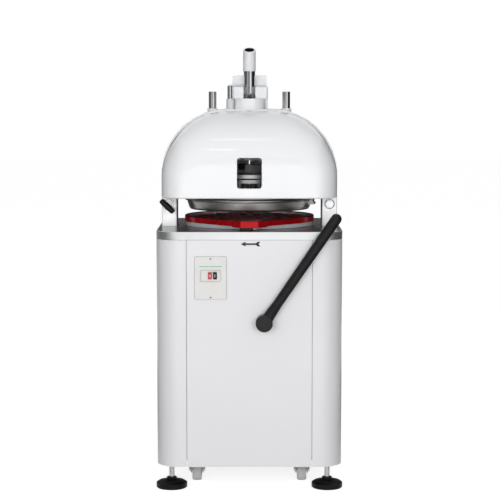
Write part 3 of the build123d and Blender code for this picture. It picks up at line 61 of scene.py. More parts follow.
class Shader:
    """A principled material with its noise, bump and colour nodes."""

    def __init__(self, name, metallic=0.0, coat=0.0, coat_rough=0.1, specular=0.5):
        self.mat = bpy.data.materials.new(name)
        self.mat.use_nodes = True
        self.tree = self.mat.node_tree
        self.bsdf = self.tree.nodes["Principled BSDF"]
        self.bsdf.inputs["Metallic"].default_value = metallic
        self.bsdf.inputs["Coat Weight"].default_value = coat
        self.bsdf.inputs["Coat Roughness"].default_value = coat_rough
        self.bsdf.inputs["Specular IOR Level"].default_value = specular
        self.coords = self.tree.nodes.new("ShaderNodeTexCoord").outputs["Object"]
        self.normal = None

    def node(self, kind, **inputs):
        """A new node with values on its inputs. An underscore stands for a space in an input's name."""
        made = self.tree.nodes.new(kind)
        for key, value in inputs.items():
            made.inputs[key.replace("_", " ")].default_value = value
        return made

    def link(self, out, into):
        self.tree.links.new(out, into)

    def noise(self, scale, detail=4.0, rough=0.55, stretch=(1, 1, 1)):
        """A noise in object coordinates that are stretched by three factors."""
        mapping = self.node("ShaderNodeMapping", Scale=stretch)
        self.link(self.coords, mapping.inputs["Vector"])
        made = self.node("ShaderNodeTexNoise", Scale=scale, Detail=detail, Roughness=rough)
        self.link(mapping.outputs["Vector"], made.inputs["Vector"])
        return made.outputs["Fac"]

    def rings(self, scale, distortion=0.4):
        """Fine turning marks round the Z axis."""
        wave = self.node("ShaderNodeTexWave", Scale=scale, Distortion=distortion, Detail=3.0)
        wave.wave_type = "RINGS"
        wave.rings_direction = "Z"
        self.link(self.coords, wave.inputs["Vector"])
        return wave.outputs["Fac"]

    def ramp(self, fac, stops):
        """The base colour, by (place, colour) stops along a factor."""
        made = self.node("ShaderNodeValToRGB")
        ramp = made.color_ramp
        while len(ramp.elements) < len(stops):
            ramp.elements.new(0.5)
        for element, (place, colour) in zip(ramp.elements, stops):
            element.position = place
            element.color = (*colour, 1.0)
        self.link(fac, made.inputs["Fac"])
        self.link(made.outputs["Color"], self.bsdf.inputs["Base Color"])

    def colour(self, fac, dark, light):
        self.ramp(fac, [(NOISE_LOW, dark), (NOISE_HIGH, light)])

    def roughness(self, fac, low, high):
        made = self.node("ShaderNodeMapRange", From_Min=NOISE_LOW, From_Max=NOISE_HIGH,
                         To_Min=low, To_Max=high)
        self.link(fac, made.inputs["Value"])
        self.link(made.outputs["Result"], self.bsdf.inputs["Roughness"])

    def bump(self, fac, strength, distance):
        """Relief by a factor, laid over the relief that is there."""
        made = self.node("ShaderNodeBump", Strength=strength, Distance=distance)
        self.link(fac, made.inputs["Height"])
        if self.normal is not None:
            self.link(self.normal, made.inputs["Normal"])
        self.normal = made.outputs["Normal"]
        self.link(self.normal, self.bsdf.inputs["Normal"])


def enamel(name, dark, light, gloss=0.35, gloss_rough=0.1):
    """Sprayed gloss enamel with a faint orange peel and cloudy variation."""
    made = Shader(name, coat=gloss, coat_rough=gloss_rough)
    made.colour(made.noise(scale=1.3, detail=3.0), dark, light)
    made.roughness(made.noise(scale=9.0, detail=3.0), low=0.30, high=0.38)
    made.bump(made.noise(scale=420.0, detail=2.0), strength=0.05, distance=0.0004)
    return made.mat


def brushed(name, dark, light, low, high, stretch, metallic=1.0):
    """Brushed or ground metal with fine lines along one direction."""
    made = Shader(name, metallic=metallic, specular=0.2)
    lines = made.noise(scale=60.0, detail=6.0, rough=0.7, stretch=stretch)
    made.colour(made.noise(scale=5.0), dark, light)
    made.roughness(lines, low, high)
    made.bump(lines, strength=0.06, distance=0.0002)
    return made.mat


def turned(name, dark, light, low, high, mark=0.05):
    """Lathe-turned metal with fine rings round the upright axis."""
    made = Shader(name, metallic=1.0)
    made.colour(made.noise(scale=9.0, detail=6.0), dark, light)
    made.roughness(made.noise(scale=30.0, detail=5.0), low, high)
    made.bump(made.rings(scale=160.0), strength=mark, distance=0.0002)
    return made.mat


def polished(name, dark, light, low, high):
    """Hard chrome with faint smears."""
    made = Shader(name, metallic=1.0)
    made.colour(made.noise(scale=18.0), dark, light)
    made.roughness(made.noise(scale=45.0, detail=5.0), low, high)
    made.bump(made.noise(scale=700.0, detail=2.0), strength=0.015, distance=0.0001)
    return made.mat


def moulded(name, dark, light, low, high, grain=900.0, strength=0.12, coat=0.0, specular=0.5):
    """Moulded plastic, ink or paint with a fine grain."""
    made = Shader(name, coat=coat, specular=specular)
    made.colour(made.noise(scale=22.0), dark, light)
    made.roughness(made.noise(scale=60.0), low, high)
    made.bump(made.noise(scale=grain, detail=2.0), strength, distance=0.0003)
    return made.mat


def rubber(name, dark, light, low=0.55, high=0.75, specular=0.35):
    """Rubber with a pebbled skin and dusty patches."""
    made = Shader(name, specular=specular)
    made.colour(made.noise(scale=35.0, detail=6.0), dark, light)
    made.roughness(made.noise(scale=80.0), low, high)
    made.bump(made.noise(scale=1300.0, detail=2.0), strength=0.2, distance=0.0003)
    return made.mat


def cast(name, dark, light):
    """Sand-cast, primed or painted iron."""
    made = Shader(name, metallic=0.2)
    made.colour(made.noise(scale=28.0, detail=6.0), dark, light)
    made.roughness(made.noise(scale=60.0), low=0.5, high=0.7)
    made.bump(made.noise(scale=380.0), strength=0.25, distance=0.0006)
    return made.mat


def red_plate_material():
    """Glossy red plastic with rubbed patches and faint scores from the dough ring."""
    made = Shader("red_plastic", metallic=0.35, coat=0.1, specular=0.2)
    made.colour(made.noise(scale=7.0, detail=6.0), (0.37, 0.002, 0.006), (0.48, 0.004, 0.010))
    made.roughness(made.noise(scale=24.0, detail=6.0), low=0.22, high=0.36)
    made.bump(made.noise(scale=90.0, detail=6.0, rough=0.65), strength=0.08, distance=0.0006)
    made.bump(made.rings(scale=120.0, distortion=2.0), strength=0.03, distance=0.0002)
    return made.mat


def shade_and_wear_top_material():
    """Moulding surface darkened as painted shade and painted reflection under the chamber ring, worn in
    brownish patches with red showing through.
    """
    made = Shader("plate_top_shade_and_wear", specular=0.15)
    made.ramp(made.noise(scale=16.0, detail=8.0, rough=0.62), [
        (0.42, (0.006, 0.005, 0.005)), (0.53, (0.03, 0.004, 0.005)),
        (0.60, (0.18, 0.008, 0.012)), (0.68, (0.10, 0.075, 0.065))])
    made.roughness(made.noise(scale=40.0, detail=6.0), low=0.26, high=0.46)
    made.bump(made.noise(scale=130.0, detail=6.0, rough=0.65), strength=0.12, distance=0.0006)
    return made.mat


# Finishes: a dark and a light colour, then the lowest and the highest roughness

FINE_ALONG_X = (1, 30, 30)
COARSE_ALONG_X = (1, 20, 20)
COARSE_ALONG_Z = (6, 6, 1)
WHITE = enamel("white_enamel", (0.768, 0.768, 0.784), (0.784, 0.784, 0.800))
HEAD_WHITE = enamel("head_enamel", (0.878, 0.886, 0.904), (0.894, 0.902, 0.920), gloss=1.0, gloss_rough=0.04)
# A brighter copy of the head enamel for the columns: painted light that offsets the shade under the hood.
COLUMN_LIT_WHITE = enamel("column_enamel_painted_light", (0.915, 0.920, 0.928), (0.930, 0.935, 0.943))
STAINLESS = brushed("stainless", (0.80, 0.81, 0.82), (0.89, 0.90, 0.91), 0.38, 0.48, FINE_ALONG_X)
# A dark copy of the stainless for the tray's top faces: painted shade, darker than the same sheet's front
# band.
TABLE_TOP_SHADE = brushed("table_top_painted_shade", (0.17, 0.173, 0.176), (0.23, 0.233, 0.236), 0.18, 0.28, FINE_ALONG_X,
                    metallic=0.6)
GROUND = brushed("ground_steel", (0.40, 0.40, 0.41), (0.50, 0.50, 0.51), 0.24, 0.40, COARSE_ALONG_X)
PLATED = brushed("plated_steel", (0.50, 0.50, 0.50), (0.62, 0.62, 0.61), 0.22, 0.36, COARSE_ALONG_Z)
CHROME = polished("chrome", (0.66, 0.67, 0.69), (0.76, 0.77, 0.79), 0.05, 0.10)
ALUMINIUM = turned("turned_aluminium", (0.36, 0.365, 0.37), (0.46, 0.465, 0.47), 0.26, 0.38)
BRIGHT_ALUMINIUM = turned("bright_aluminium", (0.50, 0.505, 0.51), (0.60, 0.605, 0.61), 0.30, 0.44)
RING_GREY = turned("ring_grey", (0.68, 0.66, 0.63), (0.76, 0.74, 0.71), 0.32, 0.40, mark=0.012)
# A darker copy of the ring's turned finish for its top flange: painted shade under the hood.
RING_FLANGE_SHADE = turned("ring_flange_painted_shade", (0.36, 0.35, 0.34), (0.42, 0.41, 0.40), 0.30, 0.38, mark=0.012)
ORBIT_GREY = cast("orbit_grey", (0.58, 0.60, 0.63), (0.66, 0.68, 0.71))
FLANGE_GREY = cast("flange_grey", (0.26, 0.26, 0.265), (0.33, 0.33, 0.335))
CAST_IRON = cast("cast_iron", (0.16, 0.165, 0.17), (0.24, 0.245, 0.25))
PRIMER = cast("primed_steel", (0.22, 0.225, 0.23), (0.31, 0.315, 0.32))
PLATE_SHADE_AND_WEAR = shade_and_wear_top_material()
BLACK_PAINT = moulded("black_paint", (0.010, 0.010, 0.011), (0.017, 0.017, 0.018), 0.32, 0.46,
                      grain=500.0, strength=0.1, specular=0.25)
BLACK_PLASTIC = moulded("black_plastic", (0.008, 0.008, 0.009), (0.015, 0.015, 0.016), 0.3, 0.44,
                        specular=0.25)
RED_PLASTIC = red_plate_material()
RED_BUTTON = moulded("red_button", (0.48, 0.012, 0.012), (0.60, 0.02, 0.018), 0.22, 0.34, coat=0.3)
NYLON = moulded("nylon", (0.78, 0.78, 0.76), (0.84, 0.84, 0.83), 0.35, 0.48)
CREAM = moulded("cream_plastic", (0.730, 0.722, 0.705), (0.770, 0.762, 0.745), 0.38, 0.52)
GREY_PLASTIC = moulded("grey_plastic", (0.20, 0.205, 0.21), (0.27, 0.275, 0.28), 0.4, 0.55)
GRIP = rubber("grip_rubber", (0.006, 0.006, 0.0065), (0.012, 0.012, 0.013), 0.42, 0.58, specular=0.25)
BELT = rubber("belt_rubber", (0.015, 0.015, 0.015), (0.03, 0.03, 0.03))
FOOT = rubber("foot_rubber", (0.003, 0.003, 0.003), (0.007, 0.007, 0.007), 0.36, 0.5, specular=0.12)
TYRE = rubber("grey_tyre", (0.36, 0.37, 0.37), (0.46, 0.47, 0.47), 0.5, 0.7)
TYRE_GREY = rubber("wheel_tyre", (0.70, 0.71, 0.71), (0.79, 0.80, 0.80), 0.45, 0.62)
WHEEL_HUB = moulded("wheel_hub", (0.74, 0.75, 0.75), (0.82, 0.83, 0.83), 0.35, 0.48)
CASTER_ZINC = cast("caster_zinc", (0.58, 0.59, 0.59), (0.68, 0.69, 0.69))
SATIN_SLEEVE = cast("satin_sleeve", (0.66, 0.665, 0.67), (0.76, 0.765, 0.77))
LABEL_GREEN = moulded("label_green", (0.03, 0.42, 0.20), (0.05, 0.50, 0.25), 0.4, 0.5)
GREY_BEZEL = moulded("grey_bezel", (0.54, 0.53, 0.51), (0.62, 0.61, 0.59), 0.36, 0.48)
MARK_INK = moulded("white_ink", (0.78, 0.78, 0.78), (0.84, 0.84, 0.84), 0.4, 0.5)
ARROW_INK = moulded("black_ink", (0.008, 0.008, 0.008), (0.016, 0.016, 0.016), 0.4, 0.5)

FINISH = {
    "white_paint": WHITE,
    "stainless": STAINLESS,
    "steel": GROUND,
    "chrome": CHROME,
    "aluminium": ALUMINIUM,
    "cast_iron": CAST_IRON,
    "frame_paint": PRIMER,
    "black_paint": BLACK_PAINT,
    "red_plastic": RED_PLASTIC,
    "red_button": RED_BUTTON,
    "black_plastic": BLACK_PLASTIC,
    "nylon": NYLON,
    "cream_plastic": CREAM,
    "grey_plastic": GREY_PLASTIC,
    "grip_rubber": GRIP,
    "belt_rubber": BELT,
    "foot_rubber": FOOT,
    "grey_rubber": TYRE,
}
OWN_FINISH = (
    (CASTER_ZINC, ("left_caster_fork", "right_caster_fork", "caster_mounts")),
    (HEAD_WHITE, ("front_cover", "rear_cover", "head_arch", "spindle_housing", "lever_yoke", "press_socket")),
    # The columns and their bosses take the brighter enamel copy, painted light against the shade under the
    # hood.
    (COLUMN_LIT_WHITE, ("left_column", "right_column", "column_bosses")),
    (RING_GREY, ("chamber_ring",)),
    (ORBIT_GREY, ("orbit_table",)),
    (GROUND, ("ring_latch",)),
    (BRIGHT_ALUMINIUM, ("presser_plate", "knife_carrier")),
    (CHROME, ("press_spindle",)),
)
SLOT_OF = {part["node"]: part["material_slot"] for part in frame["record"]["subparts"]}
for name, node in nodes.items():
    node.data.materials.clear()
    node.data.materials.append(FINISH[SLOT_OF[name]])
for finish, names in OWN_FINISH:
    for name in names:
        nodes[name].data.materials[0] = finish


# Second finishes on some faces of a node

def second_finish(name, finish, test):
    """Give the faces of a node that pass a test another material."""
    mesh = nodes[name].data
    mesh.materials.append(finish)
    for face in mesh.polygons:
        if test(face.center):
            face.material_index = 1


STEM_REACH = 8.8 * MM
STEM_LOW = 21 * MM
for name in ("left_foot", "right_foot"):
    low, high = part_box(name)
    middle = (low + high) / 2

    def on_stem(place, middle=middle):
        return hypot(place.x - middle.x, place.y - middle.y) < STEM_REACH and place.z > STEM_LOW

    second_finish(name, CHROME, on_stem)

FLANGE_TOP = 1101 * MM
second_finish("press_spindle", FLANGE_GREY, lambda place: place.z < FLANGE_TOP)
# The plate's top faces take the dark finish: painted shade and reflection under the chamber ring, with worn
# patches.
PLATE_SKIN = 2.5 * MM
PLATE_TOP_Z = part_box("moulding_plate")[1].z - PLATE_SKIN
second_finish("moulding_plate", PLATE_SHADE_AND_WEAR, lambda place: place.z > PLATE_TOP_Z)
# The tray's top faces take the dark stainless copy as painted shade.
TRAY_SKIN = 0.4 * MM
TRAY_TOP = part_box("table_tray")[1].z - TRAY_SKIN
second_finish("table_tray", TABLE_TOP_SHADE, lambda place: place.z > TRAY_TOP)
# The ring's top flange takes the darker copy as painted shade under the hood.
RING_BAND_H = 12.6 * MM
RING_BAND_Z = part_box("chamber_ring")[1].z - RING_BAND_H
second_finish("chamber_ring", RING_FLANGE_SHADE, lambda place: place.z > RING_BAND_Z)
# The columns' inner faces take dark cast iron as painted shade, where they face away from the lamps.
COLUMN_INNER = 0.2556
second_finish("left_column", CAST_IRON, lambda place: place.x > -COLUMN_INNER)
second_finish("right_column", CAST_IRON, lambda place: place.x < COLUMN_INNER)
SLEEVE_LEFT = -0.10
SLEEVE_RIGHT = -0.04
second_finish("rod_bushes", SATIN_SLEEVE, lambda place: SLEEVE_LEFT < place.x < SLEEVE_RIGHT)

CLAMP_AXIS = (-0.2815, 0.971)
CLAMP_HUB_REACH = 0.0114
CLAMP_HUB_BACK = 0.0109
CLAMP_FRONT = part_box("clamp_handle")[0].y + CLAMP_HUB_BACK


def on_clamp_hub(place):
    off = hypot(place.x - CLAMP_AXIS[0], place.z - CLAMP_AXIS[1])
    return off < CLAMP_HUB_REACH and place.y > CLAMP_FRONT


second_finish("clamp_handle", PLATED, on_clamp_hub)

SOCKET_LEAN = radians(25)
SOCKET_AXIS = Vector((0, -sin(SOCKET_LEAN), cos(SOCKET_LEAN)))
SOCKET_FOOT = Vector((0, 22 * MM, 1428 * MM))
SOCKET_BORE = 0.0172


def in_shaded_socket_bore(place):
    along = place - SOCKET_FOOT
    return (along - SOCKET_AXIS * along.dot(SOCKET_AXIS)).length < SOCKET_BORE


# The black on the socket's bore is painted shade inside the open tube.
second_finish("press_socket", BLACK_PAINT, in_shaded_socket_bore)


# Camera, floor and world, in metres

CAMERA_PLACE = (0.0021, -5.925, 1.355)
CAMERA_PITCH = 5.4
FOCAL_PIXELS = 1672.0
IMAGE_SIZE = 500.0
SENSOR = 36.0
camera_data = bpy.data.cameras.new("camera")
camera_data.sensor_width = SENSOR
camera_data.lens = FOCAL_PIXELS / IMAGE_SIZE * SENSOR
camera = bpy.data.objects.new("camera", camera_data)
camera.location = CAMERA_PLACE
camera.rotation_euler = (radians(90 - CAMERA_PITCH), 0, 0)
scene.collection.objects.link(camera)
scene.camera = camera


def quad(name, corners):
    """A sheet with four corners."""
    mesh = bpy.data.meshes.new(name)
    mesh.from_pydata(corners, [], [(0, 1, 2, 3)])
    made = bpy.data.objects.new(name, mesh)
    scene.collection.objects.link(made)
    return made


def seen_directly(tree):
    """One for rays that show the background: camera, glossy and transmission rays."""
    rays = tree.nodes.new("ShaderNodeLightPath")
    total = rays.outputs["Is Camera Ray"]
    for output in ("Is Glossy Ray", "Is Transmission Ray"):
        either = tree.nodes.new("ShaderNodeMath")
        either.operation = "MAXIMUM"
        tree.links.new(total, either.inputs[0])
        tree.links.new(rays.outputs[output], either.inputs[1])
        total = either.outputs[0]
    return total


FLOOR_HALF = 30.0
FLOOR_DROP = 0.0005
FLOOR_ALBEDO = 0.62
FLOOR_ROUGHNESS = 0.9
FLOOR_GLOW = 0.82
floor = quad("floor", [(-FLOOR_HALF, -FLOOR_HALF, 0), (FLOOR_HALF, -FLOOR_HALF, 0),
                       (FLOOR_HALF, FLOOR_HALF, 0), (-FLOOR_HALF, FLOOR_HALF, 0)])
floor.location.z = -FLOOR_DROP
floor_mat = bpy.data.materials.new("pale_floor")
floor_mat.use_nodes = True
tree = floor_mat.node_tree
bsdf = tree.nodes["Principled BSDF"]
bsdf.inputs["Base Color"].default_value = (FLOOR_ALBEDO, FLOOR_ALBEDO, FLOOR_ALBEDO, 1)
bsdf.inputs["Roughness"].default_value = FLOOR_ROUGHNESS
bsdf.inputs["Specular IOR Level"].default_value = 0.0
bsdf.inputs["Emission Color"].default_value = (1, 1, 1, 1)
glow = tree.nodes.new("ShaderNodeMath")
glow.operation = "MULTIPLY"
glow.inputs[1].default_value = FLOOR_GLOW
tree.links.new(seen_directly(tree), glow.inputs[0])
tree.links.new(glow.outputs[0], bsdf.inputs["Emission Strength"])
floor.data.materials.append(floor_mat)

WORLD_LIGHT = 0.28
world = bpy.data.worlds.new("studio")
world.use_nodes = True
scene.world = world
tree = world.node_tree
background = tree.nodes["Background"]
background.inputs["Color"].default_value = (1, 1, 1, 1)
strength = tree.nodes.new("ShaderNodeMix")
strength.inputs["A"].default_value = WORLD_LIGHT
strength.inputs["B"].default_value = 1.0
tree.links.new(seen_directly(tree), strength.inputs["Factor"])
tree.links.new(strength.outputs["Result"], background.inputs["Strength"])
scene.view_settings.view_transform = "Standard"


# Lamps, in metres and watts

def softbox(name, place, aim, width, height, power, spread=180):
    """A lamp that lights the set and shows neither directly nor in reflections."""
    data = bpy.data.lights.new(name, "AREA")
    data.spread = radians(spread)
    data.shape = "RECTANGLE"
    data.size = width
    data.size_y = height
    data.energy = power
    lamp = bpy.data.objects.new(name, data)
    lamp.location = place
    lamp.rotation_euler = (Vector(aim) - Vector(place)).to_track_quat("-Z", "Y").to_euler()
    lamp.visible_camera = False
    lamp.visible_glossy = False
    scene.collection.objects.link(lamp)


softbox("key", (-1.1, -3.7, 1.25), (0, -0.2, 1.05), width=1.9, height=1.4, power=51)
softbox("fill", (1.2, -3.7, 1.20), (0, -0.2, 1.05), width=1.9, height=1.4, power=40)
softbox("top", (0, -0.6, 4.2), (0, 0, 1.0), width=2.0, height=2.0, power=16)
softbox("rear", (0, 4.2, 1.6), (0, 0, 0.8), width=2.0, height=1.6, power=34)
COLUMN_LIGHT_X = 0.2815
COLUMN_LIGHT_Y = -0.34
COLUMN_LIGHT_Z = 0.932
for x, power in ((-COLUMN_LIGHT_X, 0.0038), (COLUMN_LIGHT_X, 0.0065)):
    softbox("column_light", (x, COLUMN_LIGHT_Y, COLUMN_LIGHT_Z), (x, 0, COLUMN_LIGHT_Z),
            width=0.05, height=0.09, power=power, spread=12)


# Cards round the set, in metres

def reflection_card(name, corners, level, soft):
    """A dark or bright card that shows only in reflections.

    Its edges fade over two shares of its size, from the first corner to the second and to the fourth.
    """
    card = quad(name, corners)
    card.visible_camera = False
    card.visible_diffuse = False
    card.visible_transmission = False
    card.visible_shadow = False
    layer = card.data.uv_layers.new(name="card")
    for loop, place in zip(layer.data, ((0, 0), (1, 0), (1, 1), (0, 1))):
        loop.uv = place
    finish = bpy.data.materials.new(name)
    finish.use_nodes = True
    tree = finish.node_tree
    tree.nodes.clear()
    uv = tree.nodes.new("ShaderNodeUVMap")
    split = tree.nodes.new("ShaderNodeSeparateXYZ")
    tree.links.new(uv.outputs["UV"], split.inputs["Vector"])
    both = tree.nodes.new("ShaderNodeMath")
    both.operation = "MULTIPLY"
    for axis, edge, into in zip("XY", soft, both.inputs):
        fold = tree.nodes.new("ShaderNodeMath")
        fold.operation = "PINGPONG"
        fold.inputs[1].default_value = 0.5
        tree.links.new(split.outputs[axis], fold.inputs[0])
        rise = tree.nodes.new("ShaderNodeMapRange")
        rise.interpolation_type = "SMOOTHSTEP"
        rise.inputs["From Max"].default_value = edge
        tree.links.new(fold.outputs[0], rise.inputs["Value"])
        tree.links.new(rise.outputs["Result"], into)
    clear = tree.nodes.new("ShaderNodeBsdfTransparent")
    shine = tree.nodes.new("ShaderNodeEmission")
    shine.inputs["Color"].default_value = (level, level, level, 1)
    mix = tree.nodes.new("ShaderNodeMixShader")
    tree.links.new(both.outputs[0], mix.inputs["Fac"])
    tree.links.new(clear.outputs[0], mix.inputs[1])
    tree.links.new(shine.outputs[0], mix.inputs[2])
    out = tree.nodes.new("ShaderNodeOutputMaterial")
    tree.links.new(mix.outputs[0], out.inputs["Surface"])
    card.data.materials.append(finish)


def cross_card(name, y, left, right, low, high, level, soft):
    """A card that stands across the set."""
    reflection_card(name, [(left, y, low), (right, y, low), (right, y, high), (left, y, high)], level, soft)


CARD_X = 2.6
SIDE_FRONT = -4.2
SIDE_LOW = -1.0
SIDE_HIGH = 3.6
SIDE_SOFT = 0.2
FLOOR_NEAR = 0.3
FLOOR_FRONT = -2.8
FLOOR_BACK = 3.0
for side, back, fade, level in ((-1, 4.0, 0.35, 0.10), (1, 6.0, 0.28, 0.02)):
    x = side * CARD_X
    near = side * FLOOR_NEAR
    reflection_card("side_card_%d" % (side + 2), [(x, SIDE_FRONT, SIDE_LOW), (x, back, SIDE_LOW),
                                                  (x, back, SIDE_HIGH), (x, SIDE_FRONT, SIDE_HIGH)],
                    level, soft=(fade, SIDE_SOFT))
    reflection_card("floor_card_%d" % (side + 2), [(near, FLOOR_FRONT, 0), (x, FLOOR_FRONT, 0),
                                                   (x, FLOOR_BACK, 0), (near, FLOOR_BACK, 0)],
                    level, soft=(0.3, 0.25))
cross_card("back_card", y=3.2, left=-3.4, right=3.4, low=0.1, high=2.0, level=0.05, soft=(0.12, 0.25))
cross_card("low_reflector", y=-5.95, left=-1.7, right=1.7, low=0.25, high=1.0, level=1.9, soft=(0.15, 0.12))
cross_card("lens_card", y=-6.6, left=-5.0, right=1.4, low=1.0, high=2.8, level=0.25, soft=(0.1, 0.2))
cross_card("high_strip", y=-2.4, left=-0.32, right=0.26, low=4.04, high=4.64, level=3.8, soft=(0.3, 0.3))
cross_card("middle_strip", y=-3.7, left=-0.38, right=-0.02, low=3.16, high=3.48, level=5.6, soft=(0.3, 0.3))


# Tools for the detail pieces, in millimetres

CORNER_STEPS = 8
THREAD_STEPS = 24
THREAD_RIDGE = ((0, 0), (1, 0.4), (1, 0.5), (0, 0.9))
MERGE_REACH = 1e-6
SHARP_EDGE = radians(32)


class Form:
    """Turned, swept and drawn shapes gathered in one mesh."""

    def __init__(self):
        self.build = bmesh.new()
        self.finish = 0

    def loop(self, place, points):
        return [self.build.verts.new((place @ Vector(point)) * MM) for point in points]

    def face(self, corners):
        made = self.build.faces.new(list(dict.fromkeys(corners)))
        made.material_index = self.finish

    def join(self, first, second):
        """Skin two loops of the same count, or a loop and a point."""
        sides = max(len(first), len(second))
        for k in range(sides):
            after = (k + 1) % sides
            self.face((first[k % len(first)], first[after % len(first)],
                       second[after % len(second)], second[k % len(second)]))

    def turned(self, place, profile, sides=48, closed=False):
        """Turn (radius, height) points round the place's Z axis. A radius may be a function of the angle."""
        loops = []
        for radius, height in profile:
            if radius == 0:
                loops.append(self.loop(place, [(0, 0, height)]))
                continue
            points = []
            for k in range(sides):
                angle = 2 * pi * k / sides
                reach = radius(angle) if callable(radius) else radius
                points.append((reach * cos(angle), reach * sin(angle), height))
            loops.append(self.loop(place, points))
        for first, second in zip(loops, loops[1:]):
            self.join(first, second)
        if closed:
            self.join(loops[-1], loops[0])

    def framed(self, place, width, height, radius, section, sag=lambda y: 0.0):
        """Sweep a closed section of (out, up) points round a rounded rectangle in the place's XY plane.

        The frame sinks by sag, a function of the height in that plane.
        """
        loops = []
        for corner, (right, up) in enumerate(((1, 1), (-1, 1), (-1, -1), (1, -1))):
            middle = Vector((right * (width / 2 - radius), up * (height / 2 - radius), 0))
            for k in range(CORNER_STEPS + 1):
                angle = pi / 2 * (corner + k / CORNER_STEPS)
                out = Vector((cos(angle), sin(angle), 0))
                points = []
                for reach, rise in section:
                    point = middle + out * (radius + reach)
                    points.append((point.x, point.y, rise - sag(point.y)))
                loops.append(self.loop(place, points))
        for k, first in enumerate(loops):
            self.join(first, loops[(k + 1) % len(loops)])

    def drawn(self, place, points, thickness):
        """A flat outline in the place's XY plane, made thick along Z."""
        low = self.loop(place, [(x, y, 0) for x, y in points])
        high = self.loop(place, [(x, y, thickness) for x, y in points])
        self.join(low, high)
        self.face(low[::-1])
        self.face(high)

    def thread(self, place, radius, depth, pitch, length):
        """A helical ridge round the place's Z axis."""
        last = None
        for k in range(int(length / pitch * THREAD_STEPS) + 1):
            angle = 2 * pi * k / THREAD_STEPS
            rise = pitch * k / THREAD_STEPS
            ridge = [(radius + depth * out, rise + pitch * up) for out, up in THREAD_RIDGE]
            section = self.loop(place, [(r * cos(angle), r * sin(angle), z) for r, z in ridge])
            if last is None:
                self.face(section)
            else:
                self.join(last, section)
            last = section
        self.face(last[::-1])

    def mesh(self, name):
        bmesh.ops.remove_doubles(self.build, verts=self.build.verts, dist=MERGE_REACH)
        bmesh.ops.recalc_face_normals(self.build, faces=self.build.faces)
        mesh = bpy.data.meshes.new(name)
        self.build.to_mesh(mesh)
        self.build.free()
        mesh.shade_smooth()
        mesh.set_sharp_from_angle(angle=SHARP_EDGE)
        return mesh


def piece(form, name, body, finishes):
    """Make a form a piece that rides on a body."""
    made = bpy.data.objects.new(name, form.mesh(name))
    for finish in finishes:
        made.data.materials.append(finish)
    scene.collection.objects.link(made)
    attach(made, body)
    return made


def facing(direction, place):
    """A place in millimetres with its Z along a direction."""
    turn = Vector((0, 0, 1)).rotation_difference(Vector(direction)).to_matrix().to_4x4()
    return Matrix.Translation(place) @ turn


def hexagon(flats):
    """The radius of a hexagon, by the angle."""
    return lambda angle: flats / 2 / cos(angle % (pi / 3) - pi / 6)


def fluted(radius, depth, count):
    """The radius of a fluted cap, by the angle."""
    return lambda angle: radius - depth * (0.5 + 0.5 * cos(count * angle)) ** 3


def millimetres(vector):
    return vector / MM


def middle_of(name):
    low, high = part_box(name)
    return millimetres((low + high) / 2)


FRONT = millimetres(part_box("front_panel")[0]).y
BACK = millimetres(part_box("rear_panel")[1]).y
LEFT = (-1, 0, 0)
RIGHT = (1, 0, 0)
TO_FRONT = (0, -1, 0)
TO_BACK = (0, 1, 0)
UP = (0, 0, 1)


# Fasteners: socket screws on the covers, panels and switch, bolts and nuts under the machine

SCREW_SIDES = 36
SCREW_SOCKET = hexagon(3.2)
SCREW = [(0, 0), (4.5, 0), (4.5, 0.5), (4.2, 1.3), (3.4, 2.0), (2.7, 2.35), (SCREW_SOCKET, 2.35),
         (SCREW_SOCKET, 0.9), (0, 0.9)]
SMALL_SCREW = Matrix.Diagonal((0.7, 0.7, 0.5, 1))
BOLT_HEAD_H = 9
BOLT_END = 43
BOLT_HEX = hexagon(20.8)
BOLT_HEAD = [(0, 0), (10.0, 0), (BOLT_HEX, 0.6), (BOLT_HEX, BOLT_HEAD_H), (7, BOLT_HEAD_H), (7, BOLT_END),
             (0, BOLT_END)]
NUT_H = 10
NUT_HEX = hexagon(22.5)
NUT = [(8.6, 0), (11, 0), (NUT_HEX, 1.2), (NUT_HEX, 8.8), (11, NUT_H), (8.6, NUT_H)]
COLUMN_X = 281.5
BED_BOLT_Y = 35
COVER_TOP = 1288.0
COVER_FLANK = 301.0
FLANK_Z = 1066.0
BED_UNDER = 867.0
BASE_UNDER = 104.0
FOOT_PLACE = (267.0, -265.0)
SCREW_SIDE = 198.0
SCREW_LOW = 96.0
SCREW_HIGH = 844.0
COVER_SCREW_Y = 74.0
SWITCH_PLACE = (-131.0, 730.0)
SWITCH_FACE = FRONT - 4.0
SWITCH_SCREW = 65.5


def on_switch(rise):
    """A place on the switch plate's face, this far above its middle."""
    return facing(TO_FRONT, (SWITCH_PLACE[0], SWITCH_FACE, SWITCH_PLACE[1] + rise))


fixings = Form()
for side in (-1, 1):
    for z in (SCREW_LOW, SCREW_HIGH):
        fixings.turned(facing(TO_BACK, (side * SCREW_SIDE, BACK, z)), SCREW, SCREW_SIDES)
    fixings.finish = 1
    fixings.turned(on_switch(side * SWITCH_SCREW) @ SMALL_SCREW, SCREW, SCREW_SIDES)
    fixings.finish = 0
    fixings.turned(facing(UP, (0, side * COVER_SCREW_Y, COVER_TOP)), SCREW, SCREW_SIDES)
    for direction, x in ((RIGHT, COVER_FLANK), (LEFT, -COVER_FLANK)):
        fixings.turned(facing(direction, (x, side * COVER_SCREW_Y, FLANK_Z)), SCREW, SCREW_SIDES)
    for y in (-BED_BOLT_Y, BED_BOLT_Y):
        fixings.turned(facing(UP, (side * COLUMN_X, y, BED_UNDER - BOLT_HEAD_H)), BOLT_HEAD, SCREW_SIDES)
    fixings.turned(facing(UP, (side * FOOT_PLACE[0], FOOT_PLACE[1], BASE_UNDER - NUT_H)), NUT, SCREW_SIDES,
                   closed=True)
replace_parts(piece(fixings, "fixings", "base", [PLATED, GREY_PLASTIC]), "fasteners")


